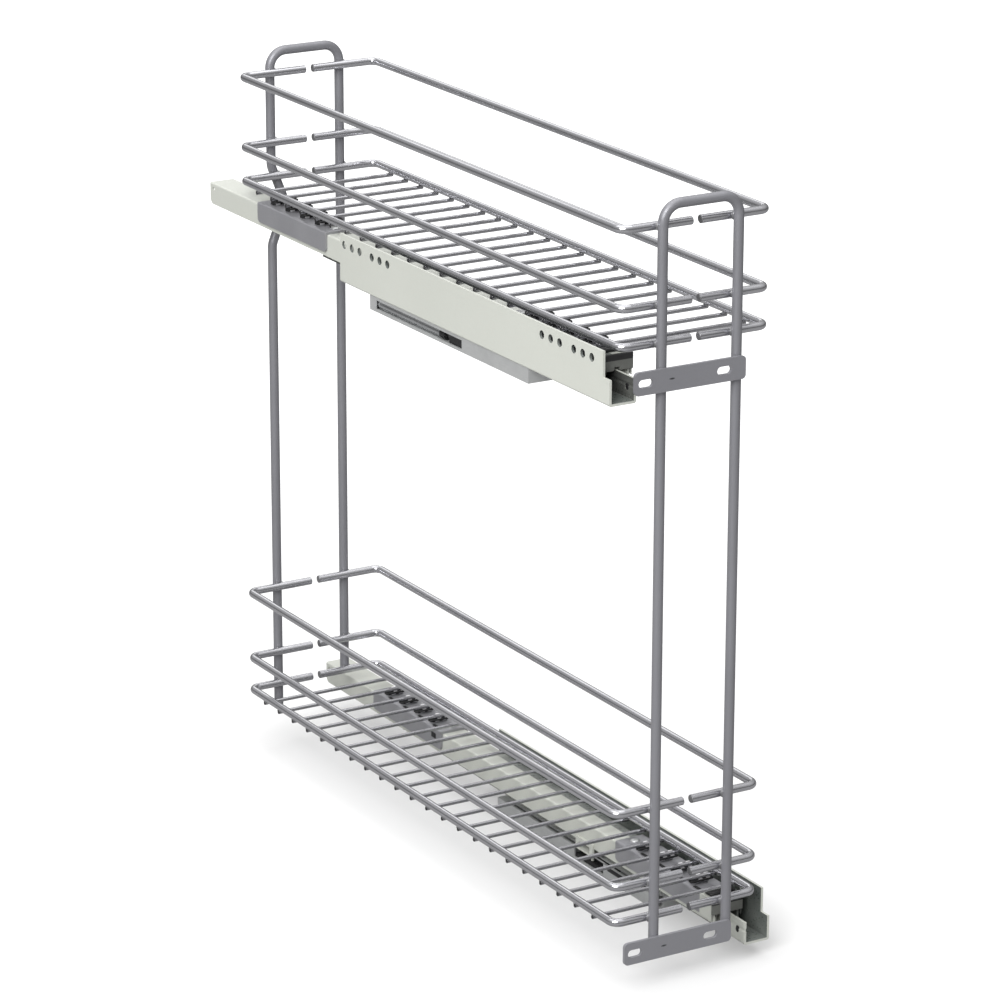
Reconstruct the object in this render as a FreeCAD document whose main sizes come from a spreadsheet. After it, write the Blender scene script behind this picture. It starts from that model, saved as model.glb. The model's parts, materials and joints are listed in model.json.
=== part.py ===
import FreeCAD, Part
import Sketcher
import math
import os
import re

# Pull-out bottle rack for a narrow base cabinet.
# X runs to the right seen from the front, Y into the cabinet, Z up.
# The origin is the centre of the lower basket's base ring, in the middle of the cabinet opening.

SIZES = (
    ("clearWidth", 115, "between the cabinet sides"),
    ("overcut", 1, "a cut past the edge that it opens"),
    # Baskets
    ("ringWidth", 96.5, "between the centres of the long wires"),
    ("ringLength", 452, "between the centres of the end wires"),
    ("ringWire", 5, "diameter of the ring wire"),
    ("ringBend", 5.5, "corner radius at the wire's centre"),
    ("ringSplit", 6, "gap between the two halves of a ring"),
    ("midRise", 22.1, "middle ring above the base ring"),
    ("topRise", 67.3, "top ring above the base ring"),
    ("tierRise", 345, "upper basket above the lower basket"),
    ("floorWire", 2.5, "diameter of the floor wires"),
    ("floorReach", 1, "floor wire past the middle of the long wires"),
    ("floorRearInset", 20.8, "rearmost floor wire in front of the rear end wire"),
    ("floorFrontInset", 22.4, "foremost floor wire behind the front end wire"),
    ("floorCount", 22, "floor wires in a basket"),
    # Frames
    ("postWire", 6, "diameter of the frame wire"),
    ("postSpread", 50, "between the two posts of a frame"),
    ("postBend", 11, "bend radius at the top of a frame"),
    ("postTop", 80, "top bar above the upper base ring"),
    ("rearTail", 17, "left rear post below the lower base ring"),
    ("rearStub", 2.5, "right rear post below the lower base ring"),
    ("frontTail", 3, "front posts above the lower edge of the lower bracket"),
    ("joggleDepth", 9, "sideways step of the rear post round the upper runner"),
    ("joggleRise", 5.5, "start of the step above the upper base ring"),
    ("joggleRun", 23, "height over which the post steps sideways"),
    ("joggleLong", 52, "whole height of the stepped stretch"),
    ("joggleBend", 12, "bend radius of the step"),
    # Front brackets
    ("bracketLong", 73.5, "length of a front bracket"),
    ("bracketHigh", 13.5, "height of a front bracket"),
    ("bracketSheet", 2, "thickness of a front bracket"),
    ("bracketCorner", 2.5, "corner radius of a front bracket"),
    ("upperBracketShift", 8.4, "upper bracket's centre to the left of the rack's middle"),
    ("lowerBracketShift", 10.9, "lower bracket's centre to the left of the rack's middle"),
    ("slotSpread", 52, "between the two slots"),
    ("slotShift", 3.7, "middle of the slots to the left of the bracket's centre"),
    ("slotLong", 9.5, "length of a slot"),
    ("slotHigh", 4.8, "width of a slot"),
    ("upperBracketDrop", 19, "bracket centre below the upper base ring"),
    ("lowerBracketDrop", 16, "bracket centre below the lower base ring"),
    # Cabinet rails
    ("railDrop", 31.6, "underside of a cabinet rail below its base ring"),
    ("railSheet", 1.5, "sheet of a cabinet rail"),
    ("railTall", 30.6, "height of the screw wall"),
    ("railStep", 15.4, "height of the part that reaches further forward"),
    ("railStepBack", 7, "how far the upper part stands back"),
    ("railLong", 310, "length of a cabinet rail"),
    ("railAhead", 3.5, "front end of a cabinet rail ahead of the front end wire"),
    ("railBend", 1.35, "rounding of the lower bends of the channel"),
    ("channelWide", 17.6, "width of the channel of a cabinet rail"),
    ("trackHigh", 14.3, "height of the track wall"),
    ("screwHole", 5, "diameter of the fixing holes"),
    ("screwRise", 24.2, "fixing holes above the underside of the rail"),
    ("screwPitch", 9.6, "between the holes of a group"),
    ("screwCount", 3, "holes in a group"),
    ("screwGroup", 34.4, "from one group of holes to the next"),
    ("screwFront", 18.7, "foremost hole behind the front end"),
    ("screwRear", 5.5, "rearmost hole ahead of the rear end"),
    ("eyeHole", 3.5, "hole near the front of the track wall"),
    ("eyeInset", 7.5, "that hole behind the front end"),
    ("eyeRise", 7.4, "that hole above the underside"),
    # Telescopic rails
    ("slideGap", 2.8, "sideways gap between nested rails"),
    ("slideHead", 2.4, "gap above the track wall and above the middle rail"),
    ("slideSheet", 1.2, "sheet of the middle and basket rails"),
    ("slideBend", 1.1, "rounding of the long bends"),
    ("middleLong", 330, "length of a middle rail"),
    ("middleInset", 24.5, "front end of a middle rail behind that of the cabinet rail"),
    ("middleFoot", 4, "lower edges of a middle rail above the underside"),
    ("basketRailInset", 17, "front end of a basket rail behind the front end wire"),
    ("basketRailPast", 44, "basket rail past the rear end wire"),
    ("basketFoot", 7.5, "lower edges of a basket rail above the underside"),
    ("tailRound", 4, "rounding of the lower rear corners of a basket rail"),
    ("tailHole", 3, "hole near the rear end of a basket rail"),
    ("tailInset", 4.6, "that hole ahead of the rear end"),
    ("tailDrop", 4, "that hole below the top of the rail"),
    # Ball cages
    ("cageSheet", 1.2, "wall of a ball cage"),
    ("cageFoot", 6.2, "lower edges of a ball cage above the underside"),
    ("ballSize", 3.4, "diameter of a ball"),
    ("ballPlay", 0.15, "play of a ball in its track"),
    ("innerCageLong", 110, "length of the inner cage"),
    ("innerCageInset", 114.5, "front end of the inner cage behind that of the cabinet rail"),
    ("innerBallRise", 9.3, "inner balls above the underside"),
    ("innerBallPitch", 22, "between inner balls"),
    ("innerBalls", 5, "inner balls on each side"),
    ("outerCageLong", 200, "length of the outer cage"),
    ("outerCageInset", 139.5, "front end of the outer cage behind that of the cabinet rail"),
    ("outerBallRise", 12.8, "outer balls above the underside"),
    ("outerBallPitch", 36, "between outer balls"),
    ("outerBalls", 6, "outer balls on each side"),
    # Saddles that carry the basket on its rail
    ("rearSaddleEnd", 15.8, "rear saddle past the outer wires that it holds"),
    ("frontSaddleEnd", 23.8, "front saddle past the outer wires that it holds"),
    ("saddleSheet", 1.5, "sheet of a saddle"),
    ("saddleSkirt", 12.5, "height of a saddle"),
    ("saddleWires", 4, "floor wires held by a saddle"),
    ("rearSaddleWire", 1, "floor wires behind the rear saddle's first"),
    ("frontSaddleWire", 17, "floor wires behind the front saddle's first"),
    ("skirtRound", 2.5, "rounding of the lower corners of a saddle"),
    ("prongWide", 2.6, "width of one prong of a wire clip"),
    ("prongSpread", 5.4, "between the two prongs of a wire clip"),
    ("clipSheet", 1.2, "thickness of a wire clip"),
    ("clipLip", 0.9, "clip above the centre of its wire"),
    ("windowWide", 11, "width of a window beside a clip"),
    ("windowLong", 5, "length of a window beside a clip"),
    ("rivetHead", 6, "head of a saddle rivet"),
    ("rivetRise", 1.2, "height of a rivet head"),
    ("rivetShank", 3.6, "shank of a saddle rivet"),
    ("rivetPlay", 0.1, "play of the shank in its hole"),
    ("rivetInset", 6, "rivet from the end of its saddle"),
    # Soft-close unit
    ("softInset", 1, "housing from the cabinet side"),
    ("softWide", 22.4, "width of the housing"),
    ("softHigh", 9.1, "height of the housing"),
    ("softSheet", 1, "sheet of the housing"),
    ("softLong", 186, "length of the housing"),
    ("softShort", 35.5, "rear end of the housing ahead of that of the cabinet rail"),
    ("endWall", 16, "width of the walls that close the ends of the housing"),
    ("sightEnd", 7, "opening in the outer wall ahead of the rear end"),
    ("sightLip", 1.8, "outer wall left above and below that opening"),
    ("slotEnd", 8, "slot for the pin ahead of the rear end of the housing"),
    ("slotInset", 2, "middle of that slot from the inner wall"),
    ("softPlay", 0.1, "damper and catch above the floor of the housing"),
    ("damperSize", 6.4, "diameter of the damper"),
    ("damperLong", 80, "length of the damper"),
    ("damperInset", 0.4, "damper from the outer wall and from the rear wall"),
    ("glandLong", 6, "length of the gland at the front of the damper"),
    ("rodSize", 3, "diameter of the piston rod"),
    ("rodPlay", 0.2, "play of the rod in the damper"),
    ("rodHold", 20, "length of rod in the damper when it is drawn right out"),
    ("rodShow", 6, "rod between the gland and the catch at rest"),
    ("boreSpare", 2, "bore of the damper past the rod at rest"),
    ("catchTravel", 40, "travel of the catch"),
    ("catchLong", 34, "length of the catch"),
    ("noseLong", 7, "length of the slope at the nose of the catch"),
    ("noseHigh", 4.4, "height of the tip of that nose"),
    ("hookGap", 0.4, "play between the pin and the catch"),
    # Striker on the basket rail
    ("strikerLong", 20, "length of the striker plate"),
    ("strikerLeg", 4, "width of the two legs of that plate"),
    ("strikerSheet", 1.2, "sheet of the striker plate"),
    ("strikerDrop", 2, "foot of the striker above the underside of the rail"),
    ("strikerGap", 0.4, "striker plate below the lower edges of the saddles"),
    ("pinSize", 2, "diameter of the striker pin"),
    ("pinReach", 4.6, "pin below the top of the housing"),
    ("pinPlay", 0.4, "play of the pin in the housing's slot"),
)

doc = FreeCAD.newDocument("PullOutRack")
sheet = doc.addObject("Spreadsheet::Sheet", "Sizes")
for row, (alias, size, note) in enumerate(SIZES, start=1):
    sheet.set(f"A{row}", alias)
    sheet.set(f"B{row}", str(size))
    sheet.set(f"C{row}", note)
    sheet.setAlias(f"B{row}", alias)
doc.recompute()

ALIASES = {alias for alias, size, note in SIZES}
TOLERANCE = 1e-4
parts = []


# Sizes and expressions

def cells(text):
    return re.sub(r"[A-Za-z]+", lambda m: f"Sizes.{m[0]}" if m[0] in ALIASES else m[0], str(text))


def value(text):
    return float(sheet.evalExpression(cells(text)))


def count(alias):
    return int(round(value(alias)))


# Sketches whose points are bound to the sheet

def new_body(name):
    body = doc.addObject("PartDesign::Body", name)
    body.Label = name
    parts.append(body)
    return body


def new_sketch(body, plane, offset):
    sketch = body.newObject("Sketcher::SketchObject", f"{body.Name}_sketch")
    origin = [f for f in body.Origin.OriginFeatures if f.Role == f"{plane}_Plane"][0]
    sketch.AttachmentSupport = (origin, [""])
    sketch.MapMode = "FlatFace"
    sketch.setExpression("AttachmentOffset.Base.z", cells(offset))
    return sketch


def bind(sketch, kind, text, *where):
    index = sketch.addConstraint(Sketcher.Constraint(kind, *where, value(text)))
    sketch.setExpression(f"Constraints[{index}]", cells(text))


def bind_point(sketch, geometry, position, x, y):
    bind(sketch, "DistanceX", x, -1, 1, geometry, position)
    bind(sketch, "DistanceY", y, -1, 1, geometry, position)


def spot(x, y):
    return FreeCAD.Vector(value(x), value(y), 0)


def add_polygon(sketch, corners):
    first = sketch.GeometryCount
    total = len(corners)
    for i in range(total):
        sketch.addGeometry(Part.LineSegment(spot(*corners[i]), spot(*corners[(i + 1) % total])), False)
    for i in range(total):
        sketch.addConstraint(Sketcher.Constraint("Coincident", first + i, 2, first + (i + 1) % total, 1))
    for i in range(total):
        bind_point(sketch, first + i, 1, *corners[i])


def add_rectangle(sketch, left, bottom, right, top):
    add_polygon(sketch, ((left, bottom), (right, bottom), (right, top), (left, top)))


def add_circle(sketch, x, y, diameter):
    outline = Part.Circle(spot(x, y), FreeCAD.Vector(0, 0, 1), value(diameter) / 2)
    circle = sketch.addGeometry(outline, False)
    bind_point(sketch, circle, 3, x, y)
    bind(sketch, "Diameter", diameter, circle)


def add_route(sketch, corners, radii):
    # Straight runs through the corners, with a tangent arc at each corner.
    points = [spot(*corner) for corner in corners]
    bends = [value(radius) for radius in radii]
    inner = range(1, len(points) - 1)
    turns = {i: Turn(points[i - 1], points[i], points[i + 1], bends[i - 1]) for i in inner}
    runs = []
    for i in range(len(points) - 1):
        start = turns[i].leave if i in turns else points[i]
        end = turns[i + 1].enter if i + 1 in turns else points[i + 1]
        runs.append(sketch.addGeometry(Part.LineSegment(start, end), False))
    for i in inner:
        arc = sketch.addGeometry(turns[i].arc(), False)
        corner = sketch.addGeometry(Part.Point(points[i]), True)
        bind_point(sketch, corner, 1, *corners[i])
        near, far = (1, 2) if turns[i].leftwards else (2, 1)
        sketch.addConstraint(Sketcher.Constraint("PointOnObject", corner, 1, runs[i - 1]))
        sketch.addConstraint(Sketcher.Constraint("PointOnObject", corner, 1, runs[i]))
        sketch.addConstraint(Sketcher.Constraint("Tangent", runs[i - 1], 2, arc, near))
        sketch.addConstraint(Sketcher.Constraint("Tangent", arc, far, runs[i], 1))
        bind(sketch, "Radius", radii[i - 1], arc)
    bind_point(sketch, runs[0], 1, *corners[0])
    bind_point(sketch, runs[-1], 2, *corners[-1])


class Turn:
    # The arc that rounds one corner of a route, always drawn anticlockwise as the sketcher keeps it.
    def __init__(self, before, corner, after, radius):
        back = (before - corner).normalize()
        ahead = (after - corner).normalize()
        middle = (back + ahead).normalize()
        sine = (back - ahead).Length / 2
        cosine = (back + ahead).Length / 2
        self.radius = radius
        self.enter = corner + back * (radius * cosine / sine)
        self.leave = corner + ahead * (radius * cosine / sine)
        self.centre = corner + middle * (radius / sine)
        self.leftwards = ahead.cross(back).z > 0

    def arc(self):
        first, last = (self.enter, self.leave) if self.leftwards else (self.leave, self.enter)
        angles = [math.atan2(p.y - self.centre.y, p.x - self.centre.x) for p in (first, last)]
        circle = Part.Circle(self.centre, FreeCAD.Vector(0, 0, 1), self.radius)
        return Part.ArcOfCircle(circle, *angles)


# Features

def add_feature(body, kind, sketch):
    feature = body.newObject(f"PartDesign::{kind}", f"{body.Name}_{kind}")
    feature.Profile = sketch
    sketch.Visibility = False
    return feature


def pad(body, sketch, length, both=False):
    feature = add_feature(body, "Pad", sketch)
    feature.setExpression("Length", cells(length))
    feature.SideType = "Symmetric" if both else "One side"
    doc.recompute()
    return feature


def cut(body, sketch, length=None):
    # Cuts both ways from the sketch, right through or over the length given.
    before = body.Shape.Volume
    feature = add_feature(body, "Pocket", sketch)
    feature.SideType = "Symmetric"
    if length is None:
        feature.Type = "ThroughAll"
    else:
        feature.setExpression("Length", cells(length))
    doc.recompute()
    if body.Shape.Volume > before - TOLERANCE:
        raise RuntimeError(f"{body.Label}: a cut removed nothing")
    return feature


def through(thickness):
    # Long enough to pass a sheet on whichever side of the sketch it lies.
    return f"4 * {thickness}"


def repeat(body, feature, plane_sketch, axis, pitch, copies):
    pattern = body.newObject("PartDesign::LinearPattern", f"{body.Name}_row")
    pattern.Originals = [feature]
    pattern.Direction = (plane_sketch, [axis])
    pattern.setExpression("Length", cells(f"({pitch}) * (({copies}) - 1)"))
    pattern.setExpression("Occurrences", cells(copies))
    body.Tip = pattern
    doc.recompute()
    return pattern


def fillet(body, edges, radius):
    base = body.Tip
    feature = body.newObject("PartDesign::Fillet", f"{body.Name}_fillet")
    feature.Base = (base, edges)
    feature.setExpression("Radius", cells(radius))
    doc.recompute()


def round_edges(body, radius, lines):
    # Rounds the long edges that run along Y through the given X and Z.
    targets = [(value(x), value(z)) for x, z in lines]
    names = []
    for number, edge in enumerate(body.Shape.Edges, start=1):
        ends = [vertex.Point for vertex in edge.Vertexes]
        if len(ends) < 2:
            continue
        for x, z in targets:
            if all(abs(p.x - x) < TOLERANCE and abs(p.z - z) < TOLERANCE for p in ends):
                names.append(f"Edge{number}")
    fillet(body, names, radius)


def cross_edges(body, places, z):
    # The edges that run across, along X, at the given Y places and height.
    depths = [value(y) for y in places]
    height = value(z)
    names = []
    for number, edge in enumerate(body.Shape.Edges, start=1):
        ends = [vertex.Point for vertex in edge.Vertexes]
        if len(ends) == 2 and any(all(on_line(p, y, height) for p in ends) for y in depths):
            names.append(f"Edge{number}")
    return names


def on_line(point, y, z):
    return abs(point.y - y) < TOLERANCE and abs(point.z - z) < TOLERANCE


def bent_wire(name, plane, offset, corners, radii, start_plane, start_offset, start, diameter):
    body = new_body(name)
    path = new_sketch(body, plane, offset)
    add_route(path, corners, radii)
    section = new_sketch(body, start_plane, start_offset)
    add_circle(section, *start, diameter)
    doc.recompute()
    pipe = add_feature(body, "AdditivePipe", section)
    pipe.Spine = (path, [f"Edge{i + 1}" for i in range(len(path.Shape.Edges))])
    path.Visibility = False
    doc.recompute()
    return body


def group(name, members):
    together = doc.addObject("Part::Compound", name)
    together.Links = members
    together.Label = name
    parts.append(together)


def place(thing, x, y, z):
    for axis, text in zip("xyz", (x, y, z)):
        thing.setExpression(f"Placement.Base.{axis}", cells(text))


# Baskets: three split rings and a row of floor wires each

TIERS = {"lower": "0", "upper": "tierRise"}
RINGS = {"base": "0", "middle": "midRise", "top": "topRise"}
HALVES = {"left": "-1", "right": "1"}
HALF_WIDE = "ringWidth / 2"
HALF_LONG = "ringLength / 2"


def ring_half(name, hand, height):
    tip = f"{hand} * ringSplit / 2"
    side = f"{hand} * {HALF_WIDE}"
    corners = ((tip, f"-{HALF_LONG}"), (side, f"-{HALF_LONG}"), (side, HALF_LONG), (tip, HALF_LONG))
    bent_wire(name, "XY", height, corners, ("ringBend", "ringBend"),
              "YZ", tip, (f"-{HALF_LONG}", height), "ringWire")


FLOOR_DEPTH = "(ringWire + floorWire) / 2"
FLOOR_PITCH = "((ringLength - floorRearInset - floorFrontInset) / (floorCount - 1))"


def floor_wire_y(number):
    return f"{HALF_LONG} - floorRearInset - {FLOOR_PITCH} * ({number})"


def floor_wires(name, base):
    reach = f"({HALF_WIDE} + floorReach)"
    wires = []
    for number in range(count("floorCount")):
        wire = doc.addObject("Part::Cylinder", f"{name}_{number}")
        wire.setExpression("Radius", cells("floorWire / 2"))
        wire.setExpression("Height", cells(f"2 * {reach}"))
        wire.Placement.Rotation = FreeCAD.Rotation(FreeCAD.Vector(0, 1, 0), 90)
        place(wire, f"-{reach}", floor_wire_y(number), f"{base} - {FLOOR_DEPTH}")
        wires.append(wire)
    group(name, wires)


for tier, base in TIERS.items():
    for ring, rise in RINGS.items():
        for half, hand in HALVES.items():
            ring_half(f"{tier}_{ring}_ring_{half}", hand, f"({base} + {rise})")
    floor_wires(f"{tier}_floor_wires", base)


# Frames: two posts and a top bar bent from one wire, welded outside the rings

POST_X = "postSpread / 2"
POST_Y = f"({HALF_LONG} + (ringWire + postWire) / 2)"
FRAME_TOP = "(tierRise + postTop)"
STEP_TOP = "(tierRise + joggleRise)"
STEP_END = f"({STEP_TOP} - joggleLong)"
STEP_X = f"(joggleDepth - {POST_X})"


def frame(name, y, left_foot, right_foot, step):
    corners = [(f"-{POST_X}", left_foot)]
    corners += step
    corners += [(f"-{POST_X}", FRAME_TOP), (POST_X, FRAME_TOP), (POST_X, right_foot)]
    radii = ["joggleBend"] * len(step) + ["postBend", "postBend"]
    bent_wire(name, "XZ", f"-({y})", corners, radii, "XY", left_foot, (f"-{POST_X}", y), "postWire")


JOGGLE = [(f"-{POST_X}", STEP_END), (STEP_X, f"{STEP_END} + joggleRun"),
          (STEP_X, f"{STEP_TOP} - joggleRun"), (f"-{POST_X}", STEP_TOP)]
FRONT_FOOT = "-(lowerBracketDrop + bracketHigh / 2 - frontTail)"
frame("rear_frame", POST_Y, "-rearTail", "-rearStub", JOGGLE)
frame("front_frame", f"-{POST_Y}", FRONT_FOOT, FRONT_FOOT, [])


# Front brackets: slotted plates across the front posts, for the cabinet door

def front_bracket(tier, middle):
    body = new_body(f"{tier}_front_bracket")
    back = f"({POST_Y} + postWire / 2)"
    outline = new_sketch(body, "XZ", back)
    left = f"-{tier}BracketShift - bracketLong / 2"
    right = f"-{tier}BracketShift + bracketLong / 2"
    add_rectangle(outline, left, f"{middle} - bracketHigh / 2", right, f"{middle} + bracketHigh / 2")
    pad(body, outline, "bracketSheet")
    for side in "-+":
        centre = f"(-{tier}BracketShift - slotShift {side} slotSpread / 2)"
        cut_slot(body, "XZ", back, centre, middle, "slotLong", "slotHigh", through("bracketSheet"))
    fillet(body, sheet_corners(body, (left, right)), "bracketCorner")


def sheet_corners(body, places):
    # The straight edges through the sheet, along Y, at the given X places.
    names = []
    for number, edge in enumerate(body.Shape.Edges, start=1):
        ends = [vertex.Point for vertex in edge.Vertexes]
        if len(ends) == 2 and abs(ends[0].z - ends[1].z) < TOLERANCE:
            if any(all(abs(p.x - value(x)) < TOLERANCE for p in ends) for x in places):
                names.append(f"Edge{number}")
    return names


def cut_slot(body, plane, offset, x, y, long, wide, depth):
    # A slot along the sketch's first axis: its straight middle, then its two round ends.
    straight = f"(({long}) - ({wide})) / 2"
    middle = new_sketch(body, plane, offset)
    add_rectangle(middle, f"{x} - {straight}", f"{y} - {wide} / 2",
                  f"{x} + {straight}", f"{y} + {wide} / 2")
    cut(body, middle, depth)
    ends = new_sketch(body, plane, offset)
    for side in "-+":
        add_circle(ends, f"{x} {side} {straight}", y, wide)
    cut(body, ends, depth)


front_bracket("upper", "(tierRise - upperBracketDrop)")
front_bracket("lower", "(-lowerBracketDrop)")


# Runners: one under each basket, the lower on the right wall and the upper on the left wall.
# In a runner, across is measured from the cabinet side inwards and up from the rail's underside.

class Runner:
    def __init__(self, tier, hand):
        self.tier = tier
        self.hand = hand
        self.floor = f"({TIERS[tier]} - railDrop)"

    def name(self, piece):
        return f"{self.tier}_{piece}"

    def x(self, across):
        return f"{self.hand} * (clearWidth / 2 - ({across}))"

    def z(self, up):
        return f"({self.floor} + {up})"

    def point(self, across, up):
        return self.x(across), self.z(up)


TRACK = "(channelWide - railSheet / 2)"
MIDDLE_IN = "(railSheet / 2 + slideGap)"
MIDDLE_OUT = f"({MIDDLE_IN} + slideSheet)"
BASKET_IN = f"({MIDDLE_OUT} + slideGap)"
BASKET_OUT = f"({BASKET_IN} + slideSheet)"
MIDDLE_HEAD = "(trackHigh + slideHead)"
BASKET_HEAD = f"({MIDDLE_HEAD} + slideSheet + slideHead)"
BASKET_TOP = f"({BASKET_HEAD} + slideSheet)"
INNER_BALLS = "(railSheet / 2 + slideGap / 2)"
OUTER_BALLS = f"({MIDDLE_OUT} + slideGap / 2)"
RAIL_FRONT = f"({HALF_LONG} + railAhead)"
RAIL_REAR = f"(railLong - {RAIL_FRONT})"
MIDDLE_FRONT = f"({RAIL_FRONT} - middleInset)"
BASKET_REAR = f"({HALF_LONG} + basketRailPast)"
BALL_TRACK = "(ballSize + 2 * ballPlay)"


def arch(runner, piece, inside, sheet_wide, head, foot, rear, length, bend=None):
    # An upside-down channel over the track wall, padded forwards from its rear end.
    outside = f"({inside} + {sheet_wide})"
    body = new_body(runner.name(piece))
    outline = new_sketch(body, "XZ", f"-({rear})")
    roof = f"{head} + {sheet_wide}"
    section = ((f"{TRACK} - {outside}", foot), (f"{TRACK} - {outside}", roof),
               (f"{TRACK} + {outside}", roof), (f"{TRACK} + {outside}", foot),
               (f"{TRACK} + {inside}", foot), (f"{TRACK} + {inside}", head),
               (f"{TRACK} - {inside}", head), (f"{TRACK} - {inside}", foot))
    add_polygon(outline, [runner.point(*corner) for corner in section])
    pad(body, outline, length)
    if bend:
        round_edges(body, bend, [runner.point(f"{TRACK} {side} {outside}", roof) for side in "-+"])
    return body


def cut_ball_tracks(runner, body, rows):
    tracks = new_sketch(body, "XZ", "0")
    for across, up in rows:
        for side in "-+":
            add_circle(tracks, *runner.point(f"{TRACK} {side} {across}", up), BALL_TRACK)
    cut(body, tracks)


def cabinet_rail(runner):
    body = new_body(runner.name("cabinet_rail"))
    outline = new_sketch(body, "XZ", f"-({RAIL_REAR})")
    section = (("0", "0"), ("0", "railTall"), ("railSheet", "railTall"), ("railSheet", "railSheet"),
               ("channelWide - railSheet", "railSheet"), ("channelWide - railSheet", "trackHigh"),
               ("channelWide", "trackHigh"), ("channelWide", "0"))
    add_polygon(outline, [runner.point(*corner) for corner in section])
    pad(body, outline, "railLong")
    round_edges(body, "railBend", [runner.point("0", "0"), runner.point("channelWide", "0")])
    cut_ball_tracks(runner, body, [(INNER_BALLS, "innerBallRise")])
    step = new_sketch(body, "YZ", "0")
    add_rectangle(step, f"-{RAIL_FRONT} - overcut", runner.z("railStep"),
                  f"-{RAIL_FRONT} + railStepBack", runner.z("railTall + overcut"))
    cut(body, step)
    holes = new_sketch(body, "YZ", runner.x("railSheet / 2"))
    foremost = f"-{RAIL_FRONT} + screwFront"
    rearmost = f"{RAIL_REAR} - screwRear - screwGroup - (screwCount - 1) * screwPitch"
    for first in (foremost, f"{foremost} + screwGroup", rearmost, f"{rearmost} + screwGroup"):
        for number in range(count("screwCount")):
            add_circle(holes, f"{first} + {number} * screwPitch", runner.z("screwRise"), "screwHole")
    cut(body, holes, through("railSheet"))
    eye = new_sketch(body, "YZ", runner.x(TRACK))
    add_circle(eye, f"-{RAIL_FRONT} + eyeInset", runner.z("eyeRise"), "eyeHole")
    cut(body, eye, through("railSheet"))


def middle_rail(runner):
    body = arch(runner, "middle_rail", MIDDLE_IN, "slideSheet", MIDDLE_HEAD, "middleFoot",
                f"middleLong - {MIDDLE_FRONT}", "middleLong", "slideBend")
    cut_ball_tracks(runner, body, [(INNER_BALLS, "innerBallRise"), (OUTER_BALLS, "outerBallRise")])


def basket_rail(runner):
    body = arch(runner, "basket_rail", BASKET_IN, "slideSheet", BASKET_HEAD, "basketFoot",
                BASKET_REAR, "ringLength + basketRailPast - basketRailInset", "slideBend")
    fillet(body, cross_edges(body, [BASKET_REAR], runner.z("basketFoot")), "tailRound")
    cut_ball_tracks(runner, body, [(OUTER_BALLS, "outerBallRise")])
    tail = new_sketch(body, "YZ", runner.x(TRACK))
    add_circle(tail, f"{BASKET_REAR} - tailInset", runner.z(f"{BASKET_TOP} - tailDrop"), "tailHole")
    cut(body, tail)
    drill_rivets(runner, body)


def ball_cage(runner, layer, middle, head, rise):
    inside = f"({middle} - cageSheet / 2)"
    roof = f"{head} + (slideHead - cageSheet) / 2"
    front = f"({RAIL_FRONT} - {layer}CageInset)"
    body = arch(runner, f"{layer}_ball_cage", inside, "cageSheet", roof, "cageFoot",
                f"{layer}CageLong - {front}", f"{layer}CageLong")
    first = f"-{front} + {layer}CageLong / 2 - {layer}BallPitch * ({layer}Balls - 1) / 2"
    window = new_sketch(body, "YZ", runner.x(TRACK))
    add_circle(window, first, runner.z(rise), BALL_TRACK)
    windows = cut(body, window)
    repeat(body, windows, window, "H_Axis", f"{layer}BallPitch", f"{layer}Balls")
    balls = []
    for side in "-+":
        for number in range(count(f"{layer}Balls")):
            ball = doc.addObject("Part::Sphere", runner.name(f"{layer}_ball"))
            ball.setExpression("Radius", cells("ballSize / 2"))
            along = f"{first} + {number} * {layer}BallPitch"
            place(ball, runner.x(f"{TRACK} {side} {middle}"), along, runner.z(rise))
            balls.append(ball)
    group(runner.name(f"{layer}_balls"), balls)


# Saddles: sheet channels over the basket rail, with clips that hold the floor wires

SADDLES = ("rear", "front")
SADDLE_TOP = f"({BASKET_TOP} + saddleSheet)"
SADDLE_FOOT = f"({SADDLE_TOP} - saddleSkirt)"


def saddle_middle(where):
    return f"({floor_wire_y(f'{where}SaddleWire')} - {FLOOR_PITCH} * (saddleWires - 1) / 2)"


def saddle_half(where):
    return f"({FLOOR_PITCH} * (saddleWires - 1) / 2 + {where}SaddleEnd)"


def saddle_ends(where, inset):
    return [f"{saddle_middle(where)} {side} ({saddle_half(where)} - {inset})" for side in "-+"]


def rivet_places():
    return [y for where in SADDLES for y in saddle_ends(where, "rivetInset")]


def drill_rivets(runner, body):
    holes = new_sketch(body, "XY", runner.z(BASKET_TOP))
    for y in rivet_places():
        add_circle(holes, runner.x(TRACK), y, "rivetShank + 2 * rivetPlay")
    cut(body, holes, through("slideSheet"))


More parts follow.
